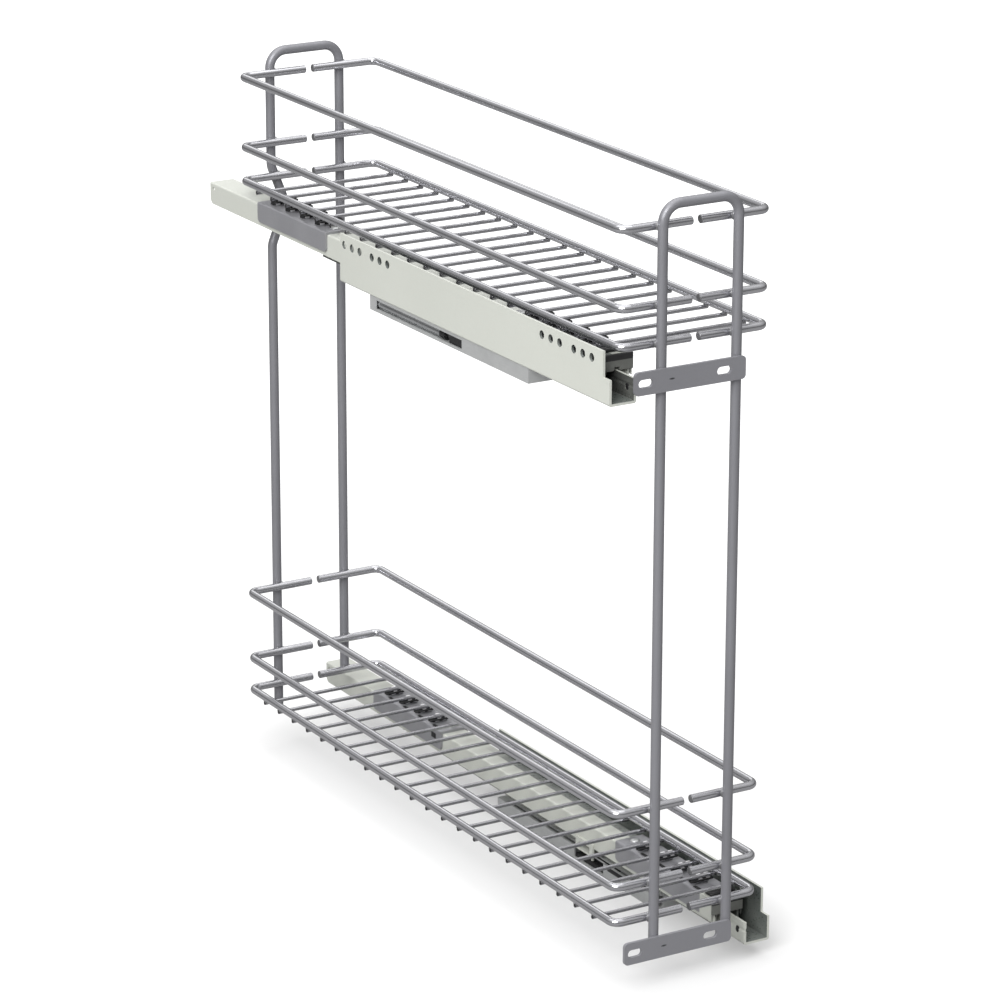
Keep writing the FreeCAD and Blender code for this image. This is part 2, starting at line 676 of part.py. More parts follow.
def saddle(runner, where):
    middle = saddle_middle(where)
    body = arch(runner, f"{where}_saddle", BASKET_OUT, "saddleSheet", BASKET_TOP, SADDLE_FOOT,
                f"{middle} + {saddle_half(where)}", f"2 * {saddle_half(where)}", "slideBend")
    fillet(body, cross_edges(body, saddle_ends(where, "0"), runner.z(SADDLE_FOOT)), "skirtRound")
    last_wire = f"({middle} - {FLOOR_PITCH} * (saddleWires - 1) / 2)"
    wire_up = f"(railDrop - {FLOOR_DEPTH})"
    # Each clip is two upright prongs behind the wire, with a seat under it.
    seat = f"{wire_up} - floorWire / 2"
    tongue = f"{last_wire} + floorWire / 2"
    section = ((tongue, SADDLE_TOP), (f"{tongue} + clipSheet", SADDLE_TOP),
               (f"{tongue} + clipSheet", f"{wire_up} + clipLip"), (tongue, f"{wire_up} + clipLip"),
               (tongue, seat), (f"{last_wire} - floorWire / 2", seat),
               (f"{last_wire} - floorWire / 2", f"{seat} - clipSheet"), (tongue, f"{seat} - clipSheet"))
    for side in "-+":
        prong = new_sketch(body, "YZ", runner.x(f"{TRACK} {side} prongSpread / 2"))
        add_polygon(prong, [(y, runner.z(up)) for y, up in section])
        prongs = pad(body, prong, "prongWide", both=True)
        repeat(body, prongs, prong, "H_Axis", FLOOR_PITCH, "saddleWires")
    window = new_sketch(body, "XY", runner.z(SADDLE_TOP))
    half = "windowWide / 2"
    ends = [runner.x(f"{TRACK} {side} {half}") for side in "-+"]
    add_rectangle(window, ends[0], f"{tongue} + clipSheet", ends[1], f"{tongue} + clipSheet + windowLong")
    windows = cut(body, window, through("saddleSheet"))
    repeat(body, windows, window, "V_Axis", FLOOR_PITCH, "saddleWires")
    holes = new_sketch(body, "XY", runner.z(SADDLE_TOP))
    for y in saddle_ends(where, "rivetInset"):
        add_circle(holes, runner.x(TRACK), y, "rivetShank + 2 * rivetPlay")
    cut(body, holes, through("saddleSheet"))


def saddle_rivets(runner):
    rivets = []
    for y in rivet_places():
        head = doc.addObject("Part::Cylinder", runner.name("rivet_head"))
        head.setExpression("Radius", cells("rivetHead / 2"))
        head.setExpression("Height", cells("rivetRise"))
        place(head, runner.x(TRACK), y, runner.z(SADDLE_TOP))
        shank = doc.addObject("Part::Cylinder", runner.name("rivet_shank"))
        shank.setExpression("Radius", cells("rivetShank / 2"))
        shank.setExpression("Height", cells("slideSheet + saddleSheet"))
        place(shank, runner.x(TRACK), y, runner.z(BASKET_HEAD))
        rivet = doc.addObject("Part::Fuse", runner.name("rivet"))
        rivet.Base = head
        rivet.Tool = shank
        rivets.append(rivet)
    group(runner.name("saddle_rivets"), rivets)


# Soft-close unit under the channel: a housing with a damper along its outer side, and ahead of that
# a catch on the piston rod, beside the lane in which the striker pin runs

SOFT_REAR = f"({RAIL_REAR} - softShort)"
SOFT_FRONT = f"({SOFT_REAR} - softLong)"
SOFT_INNER = "(softInset + softWide)"
SOFT_FLOOR = "(softSheet + softPlay - softHigh)"
SOFT_CROWN = f"({SOFT_FLOOR} + damperSize)"
DAMPER_SIDE = "(softInset + softSheet + damperInset)"
DAMPER_AXIS = f"({DAMPER_SIDE} + damperSize / 2)"
DAMPER_UP = f"({SOFT_FLOOR} + damperSize / 2)"
DAMPER_FRONT = f"({SOFT_REAR} - softSheet - damperInset - damperLong)"
GLAND_FRONT = f"({DAMPER_FRONT} - glandLong)"
CATCH_REAR = f"({GLAND_FRONT} - rodShow)"
CATCH_FRONT = f"({CATCH_REAR} - catchLong)"
CATCH_MIDDLE = f"({CATCH_REAR} - catchLong / 2)"
PIN_SIDE = f"({SOFT_INNER} - softSheet - slotInset)"
LANE_SIDE = f"({SOFT_INNER} - softSheet - hookGap)"
LANE_CROWN = "(-pinReach - hookGap)"
CATCH_SIDE = f"({PIN_SIDE} - pinSize / 2 - hookGap)"


def softclose_housing(runner):
    body = new_body(runner.name("softclose_housing"))
    outline = new_sketch(body, "XZ", f"-{SOFT_REAR}")
    for inset in ("0", "softSheet"):
        low = runner.point(f"softInset + {inset}", f"{inset} - softHigh")
        high = runner.point(f"{SOFT_INNER} - {inset}", f"-{inset}")
        add_rectangle(outline, *low, *high)
    pad(body, outline, "softLong")
    # The end walls stop short of the lane of the pin.
    low = runner.point("softInset", "-softHigh")
    high = runner.point("softInset + endWall", "0")
    for rear in (SOFT_REAR, f"({SOFT_FRONT} + softSheet)"):
        wall = new_sketch(body, "XZ", f"-{rear}")
        add_rectangle(wall, *low, *high)
        pad(body, wall, "softSheet")
    # The slot in the top, open at the front, for the pin.
    slot = new_sketch(body, "XY", runner.z("-softSheet / 2"))
    half = "(pinSize / 2 + pinPlay)"
    add_rectangle(slot, runner.x(f"{PIN_SIDE} - {half}"), f"{SOFT_FRONT} - overcut",
                  runner.x(f"{PIN_SIDE} + {half}"), f"{SOFT_REAR} - slotEnd")
    cut(body, slot, through("softSheet"))
    # Openings in the walls: the catch shows inside, and with the damper outside.
    hatch = new_sketch(body, "YZ", runner.x(f"{SOFT_INNER} - softSheet / 2"))
    add_rectangle(hatch, CATCH_FRONT, runner.z("sightLip - softHigh"), CATCH_REAR, runner.z("overcut"))
    cut(body, hatch, "2 * softSheet")
    sight = new_sketch(body, "YZ", runner.x("softInset + softSheet / 2"))
    add_rectangle(sight, CATCH_MIDDLE, runner.z("sightLip - softHigh"),
                  f"{SOFT_REAR} - sightEnd", runner.z("-sightLip"))
    cut(body, sight, "2 * softSheet")


def tube(runner, piece, front, length, bore):
    # A round piece on the axis of the damper, bored from its front end for the rod.
    body = new_body(runner.name(piece))
    section = new_sketch(body, "XZ", f"-({front} + {length})")
    add_circle(section, *runner.point(DAMPER_AXIS, DAMPER_UP), "damperSize")
    pad(body, section, length)
    hole = new_sketch(body, "XZ", f"-{front}")
    add_circle(hole, *runner.point(DAMPER_AXIS, DAMPER_UP), "rodSize + 2 * rodPlay")
    cut(body, hole, f"2 * ({bore})")


def damper(runner):
    tube(runner, "damper", DAMPER_FRONT, "damperLong", "rodHold + catchTravel + boreSpare")
    tube(runner, "damper_gland", GLAND_FRONT, "glandLong", "glandLong")


def damper_rod(runner):
    body = new_body(runner.name("damper_rod"))
    rear = f"({DAMPER_FRONT} + rodHold + catchTravel)"
    section = new_sketch(body, "XZ", f"-{rear}")
    add_circle(section, *runner.point(DAMPER_AXIS, DAMPER_UP), "rodSize")
    pad(body, section, f"{rear} - {CATCH_REAR}")


def catch(runner):
    # A block with a sloped nose and a notch beside the pin, on a foot that reaches under the pin.
    body = new_body(runner.name("catch"))
    side = new_sketch(body, "YZ", runner.x(f"({DAMPER_SIDE} + {CATCH_SIDE}) / 2"))
    notch = "(pinSize / 2 + hookGap)"
    outline = ((CATCH_FRONT, SOFT_FLOOR), (CATCH_REAR, SOFT_FLOOR), (CATCH_REAR, SOFT_CROWN),
               (f"{CATCH_MIDDLE} + {notch}", SOFT_CROWN), (f"{CATCH_MIDDLE} + {notch}", LANE_CROWN),
               (f"{CATCH_MIDDLE} - {notch}", LANE_CROWN), (f"{CATCH_MIDDLE} - {notch}", SOFT_CROWN),
               (f"{CATCH_FRONT} + noseLong", SOFT_CROWN), (CATCH_FRONT, f"{SOFT_FLOOR} + noseHigh"))
    add_polygon(side, [(y, runner.z(up)) for y, up in outline])
    pad(body, side, f"{CATCH_SIDE} - {DAMPER_SIDE}", both=True)
    foot = new_sketch(body, "XZ", f"-{CATCH_REAR}")
    add_rectangle(foot, *runner.point(DAMPER_SIDE, SOFT_FLOOR), *runner.point(LANE_SIDE, LANE_CROWN))
    pad(body, foot, "catchLong")


def striker(runner):
    # A plate on the inner leg of the basket rail: two legs, a foot under the rails and a pin below it.
    body = new_body(runner.name("striker"))
    face = f"({TRACK} + {BASKET_OUT})"
    foot_top = "(strikerDrop + strikerSheet)"
    outline = new_sketch(body, "YZ", runner.x(f"{face} + strikerSheet / 2"))
    add_rectangle(outline, f"{CATCH_MIDDLE} - strikerLong / 2", runner.z("strikerDrop"),
                  f"{CATCH_MIDDLE} + strikerLong / 2", runner.z(f"{SADDLE_FOOT} - strikerGap"))
    between = "(strikerLong / 2 - strikerLeg)"
    add_rectangle(outline, f"{CATCH_MIDDLE} - {between}", runner.z(foot_top),
                  f"{CATCH_MIDDLE} + {between}", runner.z("basketFoot"))
    pad(body, outline, "strikerSheet", both=True)
    foot = new_sketch(body, "XZ", f"-({CATCH_MIDDLE} + strikerLong / 2)")
    add_rectangle(foot, *runner.point(CATCH_SIDE, "strikerDrop"),
                  *runner.point(f"{face} + strikerSheet", foot_top))
    pad(body, foot, "strikerLong")
    pin = new_sketch(body, "XY", runner.z(f"({foot_top} - pinReach) / 2"))
    add_circle(pin, runner.x(PIN_SIDE), CATCH_MIDDLE, "pinSize")
    pad(body, pin, f"{foot_top} + pinReach", both=True)


for runner in (Runner("lower", "1"), Runner("upper", "-1")):
    cabinet_rail(runner)
    middle_rail(runner)
    basket_rail(runner)
    ball_cage(runner, "inner", INNER_BALLS, "trackHigh", "innerBallRise")
    ball_cage(runner, "outer", OUTER_BALLS, f"({MIDDLE_HEAD} + slideSheet)", "outerBallRise")
    for where in SADDLES:
        saddle(runner, where)
    saddle_rivets(runner)
    softclose_housing(runner)
    damper(runner)
    catch(runner)
    damper_rod(runner)
    striker(runner)


# Checks and files

doc.recompute()
faults = [thing.Name for thing in doc.Objects if {"Invalid", "Error"} & set(thing.State)]
for part in parts:
    if part.Shape.isNull() or not part.Shape.isValid() or not part.Shape.Solids:
        faults.append(part.Label)
if faults:
    raise RuntimeError(f"failed: {faults}")
os.makedirs("parts", exist_ok=True)
for part in parts:
    part.Shape.exportStep(f"parts/{part.Label}.step")
print(f"{len(parts)} nodes written")
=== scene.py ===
import bmesh
import bpy
import json
from itertools import product
from mathutils import Matrix, Vector


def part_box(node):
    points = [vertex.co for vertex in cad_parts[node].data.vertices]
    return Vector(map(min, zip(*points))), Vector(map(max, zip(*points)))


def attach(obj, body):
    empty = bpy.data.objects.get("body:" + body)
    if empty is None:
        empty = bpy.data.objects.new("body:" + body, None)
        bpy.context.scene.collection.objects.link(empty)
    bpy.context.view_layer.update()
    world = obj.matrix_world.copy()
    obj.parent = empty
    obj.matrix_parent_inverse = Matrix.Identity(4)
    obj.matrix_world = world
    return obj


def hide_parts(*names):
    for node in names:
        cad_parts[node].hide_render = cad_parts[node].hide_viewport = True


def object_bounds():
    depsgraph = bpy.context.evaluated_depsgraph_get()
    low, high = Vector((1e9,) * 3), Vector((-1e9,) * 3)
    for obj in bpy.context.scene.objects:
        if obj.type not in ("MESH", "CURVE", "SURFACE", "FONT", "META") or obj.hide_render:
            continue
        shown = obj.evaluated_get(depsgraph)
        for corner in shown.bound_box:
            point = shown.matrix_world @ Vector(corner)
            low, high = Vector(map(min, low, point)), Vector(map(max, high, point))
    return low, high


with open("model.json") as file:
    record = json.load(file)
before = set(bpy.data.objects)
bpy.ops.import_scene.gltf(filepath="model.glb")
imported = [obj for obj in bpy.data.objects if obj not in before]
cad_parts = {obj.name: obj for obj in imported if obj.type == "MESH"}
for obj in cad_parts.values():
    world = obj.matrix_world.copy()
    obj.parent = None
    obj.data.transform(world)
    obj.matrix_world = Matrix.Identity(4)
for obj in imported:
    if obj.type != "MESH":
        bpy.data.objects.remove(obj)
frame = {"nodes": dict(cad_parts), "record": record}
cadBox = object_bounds()
nodes = frame["nodes"]
tiers = {"lower": {"rise": 0.0, "hand": 1}, "upper": {"rise": 0.345, "hand": -1}}
tierLift = 0.1  # keeps heights positive while they are folded to one tier
noiseBand = (0.3, 0.7)  # the part of a noise's range that is used
sides = (-1, 1)
print("frame loaded,", len(nodes), "nodes")


# node helpers

def addNode(tree, kind, values=None, **settings):
    node = tree.nodes.new(kind)
    for key, value in settings.items():
        setattr(node, key, value)
    for key, value in (values or {}).items():
        node.inputs[key].default_value = value
    return node


def feed(tree, socket, value):  # a number or tuple is set, an output is linked
    if isinstance(value, (int, float, tuple)):
        socket.default_value = value
    else:
        tree.links.new(value, socket)


def addMath(tree, operation, first, second=0.0):
    node = addNode(tree, "ShaderNodeMath", operation=operation)
    for socket, value in zip(node.inputs, (first, second)):
        feed(tree, socket, value)
    return node.outputs[0]


def addRange(tree, source, low, high, toLow=0.0, toHigh=1.0):
    values = {"From Min": low, "From Max": high, "To Min": toLow, "To Max": toHigh}
    node = addNode(tree, "ShaderNodeMapRange", values, clamp=True)
    tree.links.new(source, node.inputs["Value"])
    return node.outputs["Result"]


def joinAxes(tree, *parts):
    node = tree.nodes.new("ShaderNodeCombineXYZ")
    for socket, part in zip(node.inputs, parts):
        feed(tree, socket, part)
    return node.outputs[0]


def splitAxes(tree, vector):
    node = tree.nodes.new("ShaderNodeSeparateXYZ")
    tree.links.new(vector, node.inputs[0])
    return node.outputs


def mixColor(tree, factor, first, second):
    mix = addNode(tree, "ShaderNodeMix", data_type="RGBA")
    tree.links.new(factor, mix.inputs["Factor"])
    for socket, value in zip(mix.inputs[6:8], (first, second)):  # the two colour sockets
        feed(tree, socket, (*value, 1) if isinstance(value, tuple) else value)
    return mix.outputs[2]


def tint(tree, color, mask, share, other):
    return mixColor(tree, addMath(tree, "MULTIPLY", mask, share), color, other)


def addTexture(tree, kind, vector, scale, values=None, **settings):
    texture = addNode(tree, kind, values, **settings)
    tree.links.new(vector, texture.inputs["Vector"])
    feed(tree, texture.inputs["Scale"], scale)
    return texture


def addNoise(tree, vector, scale, detail, roughness):
    values = {"Detail": detail, "Roughness": roughness}
    return addTexture(tree, "ShaderNodeTexNoise", vector, scale, values).outputs["Fac"]


def addCells(tree, vector, scale):  # one random value per cell
    cells = addTexture(tree, "ShaderNodeTexVoronoi", vector, scale, feature="F1")
    split = addNode(tree, "ShaderNodeSeparateColor")
    tree.links.new(cells.outputs["Color"], split.inputs["Color"])
    return split.outputs[0]


def stretched(tree, vector, scale):
    mapping = addNode(tree, "ShaderNodeMapping", {"Scale": scale})
    tree.links.new(vector, mapping.inputs["Vector"])
    return mapping.outputs["Vector"]


def foldTiers(tree, height):  # a height above its own tier, plus tierLift
    return addMath(tree, "FLOORED_MODULO", addMath(tree, "ADD", height, tierLift), tiers["upper"]["rise"])


# shared shader groups

def newGroup(name, inputs, output, *others):  # a tuple makes a colour socket
    group = bpy.data.node_groups.new(name, "ShaderNodeTree")
    group.interface.new_socket("Vector", in_out="INPUT", socket_type="NodeSocketVector")
    for label, value in inputs.items():
        kind = "NodeSocketColor" if isinstance(value, tuple) else "NodeSocketFloat"
        group.interface.new_socket(label, in_out="INPUT", socket_type=kind).default_value = value
    for label in (output, *others):
        kind = "NodeSocketColor" if label == "Color" else "NodeSocketFloat"
        group.interface.new_socket(label, in_out="OUTPUT", socket_type=kind)
    return group, group.nodes.new("NodeGroupInput").outputs, group.nodes.new("NodeGroupOutput").inputs


def makeLacquerFlake():  # fine flakes and a soft orange peel
    group, start, end = newGroup("lacquerFlake", {"Flake Scale": 2600.0, "Peel Scale": 420.0}, "Flake", "Peel")
    group.links.new(addCells(group, start["Vector"], start["Flake Scale"]), end["Flake"])
    peel = addNoise(group, start["Vector"], start["Peel Scale"], detail=2.0, roughness=0.45)
    group.links.new(peel, end["Peel"])
    return group


def makeToneDrift():  # slow change of tone from place to place
    group, start, end = newGroup(
        "toneDrift", {"Scale": 14.0, "Light": (0.5, 0.5, 0.5, 1), "Dark": (0.4, 0.4, 0.4, 1)}, "Color")
    cloud = addNoise(group, start["Vector"], start["Scale"], detail=3.0, roughness=0.55)
    drift = addRange(group, cloud, *noiseBand)
    group.links.new(mixColor(group, drift, start["Light"], start["Dark"]), end["Color"])
    return group


rubbing = dict(stretch=(1.0, 0.06, 1.0), patchEdge=0.12, streakBand=(0.42, 0.66))


def makeHandlingMarks():  # sparse rubbed patches broken up by fine streaks
    group, start, end = newGroup(
        "handlingMarks", {"Patch Scale": 38.0, "Streak Scale": 700.0, "Cover": 0.6}, "Mask")
    patch = addNoise(group, start["Vector"], start["Patch Scale"], detail=4.0, roughness=0.6)
    lengthwise = stretched(group, start["Vector"], rubbing["stretch"])
    streak = addNoise(group, lengthwise, start["Streak Scale"], detail=3.0, roughness=0.6)
    area = addRange(group, addMath(group, "SUBTRACT", patch, start["Cover"]), 0.0, rubbing["patchEdge"])
    lines = addRange(group, streak, *rubbing["streakBand"])
    group.links.new(addMath(group, "MULTIPLY", area, lines), end["Mask"])
    return group


settling = dict(upBand=(0.35, 1.0), speckBand=(0.4, 0.75))


def makeRestingDust():  # a thin film on what faces up
    group, start, end = newGroup("restingDust", {"Scale": 160.0}, "Mask")
    normal = splitAxes(group, group.nodes.new("ShaderNodeNewGeometry").outputs["Normal"])
    up = addRange(group, normal["Z"], *settling["upBand"])
    speck = addNoise(group, start["Vector"], start["Scale"], detail=5.0, roughness=0.7)
    specks = addRange(group, speck, *settling["speckBand"])
    group.links.new(addMath(group, "MULTIPLY", up, specks), end["Mask"])
    return group


screwRow = dict(height=-0.0074, half=0.0027, middle=-0.0695, reach=0.149)  # fixing holes in each tall wall
# limits of the painted channel shade: how squarely a face must look in, the fade length and the faintest share
shadeLimits = dict(facing=0.5, fade=0.03, faintest=0.82)


def makeChannelShade():  # painted shade on the faces that look into a channel, in the fixing-hole bores and on outer sides ahead of a point
    group, start, end = newGroup(
        "channelShade",
        {"Wall From": 0.05, "Track To": 0.045, "Floor From": 0.0415, "Floor To": 0.056, "Beyond": 1.0,
         "Back To": 1.0, "Holes From": 1.0, "Scale": 45.0}, "Mask")

    def calc(operation, first, second=0.0):
        return addMath(group, operation, first, second)

    def both(first, second):
        return calc("MULTIPLY", first, second)

    place = splitAxes(group, start["Vector"])
    normal = splitAxes(group, group.nodes.new("ShaderNodeNewGeometry").outputs["Normal"])
    off = calc("ABSOLUTE", place["X"])
    outward = calc("DIVIDE", both(place["X"], normal["X"]), off)
    wall = both(calc("LESS_THAN", outward, -shadeLimits["facing"]), calc("GREATER_THAN", off, start["Wall From"]))
    track = both(calc("GREATER_THAN", outward, shadeLimits["facing"]), calc("LESS_THAN", off, start["Track To"]))
    between = both(calc("GREATER_THAN", off, start["Floor From"]), calc("LESS_THAN", off, start["Floor To"]))
    floor = both(calc("GREATER_THAN", normal["Z"], shadeLimits["facing"]), between)
    ahead = addRange(group, calc("SUBTRACT", start["Back To"], place["Y"]), 0.0, shadeLimits["fade"])
    strip = both(calc("GREATER_THAN", off, start["Beyond"]), ahead)
    channel = calc("ADD", calc("ADD", wall, track), floor)
    level = foldTiers(group, place["Z"])
    fromRow = calc("ABSOLUTE", calc("SUBTRACT", level, tierLift + screwRow["height"]))
    fromMiddle = calc("ABSOLUTE", calc("SUBTRACT", place["Y"], screwRow["middle"]))
    inRow = both(calc("LESS_THAN", fromRow, screwRow["half"]), calc("LESS_THAN", fromMiddle, screwRow["reach"]))
    edgeOn = calc("LESS_THAN", calc("ABSOLUTE", outward), shadeLimits["facing"])
    bores = both(both(inRow, edgeOn), calc("GREATER_THAN", off, start["Holes From"]))
    inside = calc("MAXIMUM", calc("MAXIMUM", channel, strip), bores)
    shadeBreakup = addNoise(group, start["Vector"], start["Scale"], detail=3.0, roughness=0.6)
    group.links.new(both(inside, addRange(group, shadeBreakup, *noiseBand, shadeLimits["faintest"], 1.0)), end["Mask"])
    return group


pressing = dict(wobbleScale=900.0, wobble=0.8, edge=(0.8, 1.5))


def makeDentShade():  # a slim dark mark painted as the shade in a dent left by the press, one place per use
    group, start, end = newGroup(
        "dentShade", {"Across": 0.0, "Height": 0.0, "Half Long": 0.0021, "Half High": 0.0006}, "Mask")
    wobble = addNoise(group, start["Vector"], pressing["wobbleScale"], detail=2.0, roughness=0.5)
    place = splitAxes(group, start["Vector"])
    squares = []
    for axis, centre, half in (("X", "Across", "Half Long"), ("Z", "Height", "Half High")):
        away = addMath(group, "DIVIDE", addMath(group, "SUBTRACT", place[axis], start[centre]), start[half])
        squares.append(addMath(group, "MULTIPLY", away, away))
    rough = addMath(group, "ADD", addMath(group, "ADD", *squares),
                    addMath(group, "MULTIPLY", wobble, pressing["wobble"]))
    group.links.new(addRange(group, rough, *pressing["edge"], 1.0, 0.0), end["Mask"])
    return group


groups = {"dentShadeMask": makeDentShade(), "flake": makeLacquerFlake(), "drift": makeToneDrift(),
          "marks": makeHandlingMarks(), "dust": makeRestingDust(), "paintedShade": makeChannelShade()}
print("shader groups:", len(groups))


# finishes

def useGroup(tree, key, vector, **values):
    node = tree.nodes.new("ShaderNodeGroup")
    node.node_tree = groups[key]
    for label, value in values.items():
        node.inputs[label.replace("_", " ")].default_value = value
    tree.links.new(vector, node.inputs["Vector"])
    return node.outputs


def addTone(tree, place, scale, sizes):
    light, dark = (*sizes["light"], 1), (*sizes["dark"], 1)
    return useGroup(tree, "drift", place, Scale=scale, Light=light, Dark=dark)["Color"]


def startFinish(name, **values):
    material = bpy.data.materials.new(name)
    material.use_nodes = True
    tree = material.node_tree
    shader = tree.nodes["Principled BSDF"]
    for label, value in values.items():
        shader.inputs[label.replace("_", " ")].default_value = value
    return material, tree, shader, tree.nodes.new("ShaderNodeTexCoord").outputs["Object"]


def endFinish(tree, shader, color, rough, height, strength, distance):
    bump = addNode(tree, "ShaderNodeBump", {"Strength": strength, "Distance": distance})
    tree.links.new(height, bump.inputs["Height"])
    for label, source in (("Base Color", color), ("Roughness", rough), ("Normal", bump.outputs["Normal"])):
        tree.links.new(source, shader.inputs[label])


lacquerBase = dict(coatRough=0.12, dustColor=(0.5, 0.5, 0.48), dentShadeColor=(0.05, 0.05, 0.055), shadeShine=0.12,
                   bumpDeep=0.0004)


def makeLacquer(name, sizes):
    material, tree, shader, place = startFinish(
        name, Metallic=sizes["metallic"], Coat_Weight=sizes["coat"], Coat_Roughness=lacquerBase["coatRough"])
    flake = useGroup(tree, "flake", place, Flake_Scale=sizes["flakeScale"], Peel_Scale=sizes["peelScale"])
    marks = useGroup(tree, "marks", place, Cover=sizes["cover"])["Mask"]
    dust = useGroup(tree, "dust", place)["Mask"]
    glint = addRange(tree, flake["Flake"], 0.0, 1.0, 0.0, sizes["glint"])
    color = mixColor(tree, glint, addTone(tree, place, sizes["driftScale"], sizes), sizes["flakeColor"])
    color = tint(tree, color, marks, sizes["markShare"], sizes["markColor"])
    color = tint(tree, color, dust, sizes["dustShare"], lacquerBase["dustColor"])
    rough = addRange(tree, flake["Peel"], *noiseBand, sizes["smooth"], sizes["rough"])
    rough = addMath(tree, "ADD", rough, addMath(tree, "MULTIPLY", marks, sizes["markShare"] / 2))
    if "toneAbove" in sizes:  # another tone above a height, the same in each tier
        level = foldTiers(tree, splitAxes(tree, place)["Z"])
        above = addMath(tree, "GREATER_THAN", level, sizes["toneAbove"] + tierLift)
        color = mixColor(tree, above, color, sizes["toneAboveColor"])
    # painted shade in the pressed dents
    for mark in sizes.get("dentShades", ()):
        dentShadeMask = useGroup(tree, "dentShadeMask", place, **mark)
        color = mixColor(tree, dentShadeMask["Mask"], color, lacquerBase["dentShadeColor"])
    # painted shade laid on by the channel shade group, a little smoother where it lies
    for paintedShade, shadeColor in sizes.get("paintedShades", ()):
        cover = useGroup(tree, "paintedShade", place, **paintedShade)["Mask"]
        color = mixColor(tree, cover, color, shadeColor)
        rough = addMath(tree, "SUBTRACT", rough, addMath(tree, "MULTIPLY", cover, lacquerBase["shadeShine"]))
    endFinish(tree, shader, color, rough, flake["Peel"], sizes["bump"], lacquerBase["bumpDeep"])
    return material


wireLacquer = dict(
    metallic=0.92, coat=0.12, flakeScale=6000, peelScale=700, driftScale=16, light=(0.55, 0.55, 0.575),
    dark=(0.48, 0.48, 0.505), flakeColor=(0.65, 0.65, 0.67), glint=0.02, cover=0.66, markShare=0.05,
    markColor=(0.5, 0.5, 0.52), dustShare=0.02, smooth=0.17, rough=0.20, bump=0.004)
postLacquer = dict(
    metallic=0.35, coat=0.05, flakeScale=5600, peelScale=600, driftScale=12, light=(0.25, 0.25, 0.27),
    dark=(0.222, 0.222, 0.24), flakeColor=(0.34, 0.34, 0.36), glint=0.06, cover=0.66, markShare=0.2,
    markColor=(0.33, 0.33, 0.35), dustShare=0.03, smooth=0.36, rough=0.48, bump=0.02)
railCoat = dict(
    metallic=0.0, coat=0.08, flakeScale=4200, peelScale=640, driftScale=9, light=(0.575, 0.59, 0.54),
    dark=(0.54, 0.555, 0.505), flakeColor=(0.62, 0.63, 0.59), glint=0.2, cover=0.63, markShare=0.28,
    markColor=(0.42, 0.43, 0.40), dustShare=0.06, smooth=0.36, rough=0.48, bump=0.06)
sideShade = dict(Wall_From=1.0, Track_To=0.0, Floor_From=1.0, Back_To=0.08)  # painted shade on outer sides alone
lacquers = {
    "wireLacquer": wireLacquer,
    # a darker copy of the wire lacquer: painted shade on the floor wires
    "floorWireLacquer": dict(
        wireLacquer, light=(0.42, 0.42, 0.44), dark=(0.36, 0.36, 0.38), flakeColor=(0.5, 0.5, 0.52)),
    "postLacquer": postLacquer,
    # lighter than the post lacquer as painted light on the front-facing brackets
    "bracketLacquer": dict(
        postLacquer, light=(0.285, 0.285, 0.308), dark=(0.262, 0.262, 0.283),
        dentShades=(dict(Across=-0.0208, Height=-0.0156), dict(Across=-0.0208, Height=0.3264))),
    "saddleLacquer": dict(  # its clips above a height are painted bright as a highlight, and its outer side carries painted shade
        metallic=0.5, coat=0.05, flakeScale=5200, peelScale=600, driftScale=22, light=(0.36, 0.36, 0.38),
        dark=(0.31, 0.31, 0.33), flakeColor=(0.45, 0.45, 0.47), glint=0.05, cover=0.62, markShare=0.2,
        markColor=(0.34, 0.34, 0.35), dustShare=0.03, smooth=0.34, rough=0.44, bump=0.02, toneAbove=-0.0083,
        toneAboveColor=(0.82, 0.82, 0.83), paintedShades=((dict(sideShade, Beyond=0.0503), (0.12, 0.12, 0.125)),)),
    "railCoat": railCoat,
    "channelCoat": dict(  # painted shade inside the channel and in the fixing-hole bores; the track wall is darker than the rest of the channel
        railCoat, paintedShades=((dict(Track_To=0.0, Holes_From=0.0555), (0.095, 0.108, 0.102)),
                         (dict(Wall_From=1.0, Floor_From=1.0), (0.045, 0.047, 0.045)))),
    # painted shade on the outer leg ahead of a point
    "basketRailCoat": dict(railCoat, paintedShades=((dict(sideShade, Beyond=0.0432), (0.11, 0.12, 0.113)),)),
    "capCoat": dict(  # black brim over an end face that is the rail coat darkened as painted shade
        railCoat, light=(0.2, 0.205, 0.19), dark=(0.16, 0.165, 0.152), flakeColor=(0.24, 0.24, 0.23),
        toneAbove=-0.0117, toneAboveColor=(0.035, 0.035, 0.036)),
    # the rail coat darkened as painted shade inside the channel, with more painted shade on its side faces
    "middleRailCoat": dict(
        railCoat, light=(0.21, 0.215, 0.20), dark=(0.16, 0.165, 0.152), flakeColor=(0.3, 0.3, 0.29),
        paintedShades=((dict(Wall_From=0.0, Track_To=1.0, Floor_From=1.0, Scale=60.0), (0.05, 0.055, 0.05)),)),
    "weldLacquer": dict(
        metallic=0.7, coat=0.1, flakeScale=3200, peelScale=900, driftScale=60, light=(0.26, 0.26, 0.27),
        dark=(0.12, 0.12, 0.125), flakeColor=(0.42, 0.42, 0.43), glint=0.2, cover=0.6, markShare=0.2,
        markColor=(0.4, 0.4, 0.41), dustShare=0.05, smooth=0.34, rough=0.52, bump=0.3),
    # near black: painted shade on the floor-wire ends under the base ring
    "wireEnd": dict(
        metallic=0.5, coat=0.0, flakeScale=3200, peelScale=1400, driftScale=150, light=(0.055, 0.055, 0.058),
        dark=(0.02, 0.02, 0.022), flakeColor=(0.12, 0.12, 0.125), glint=0.2, cover=0.6, markShare=0.3,
        markColor=(0.2, 0.2, 0.2), dustShare=0.03, smooth=0.42, rough=0.6, bump=0.3),
}

platingBase = dict(cover=0.58, lineBand=(0.5, 0.75), lineShare=0.3, markRough=0.12, bumpDeep=0.0002)


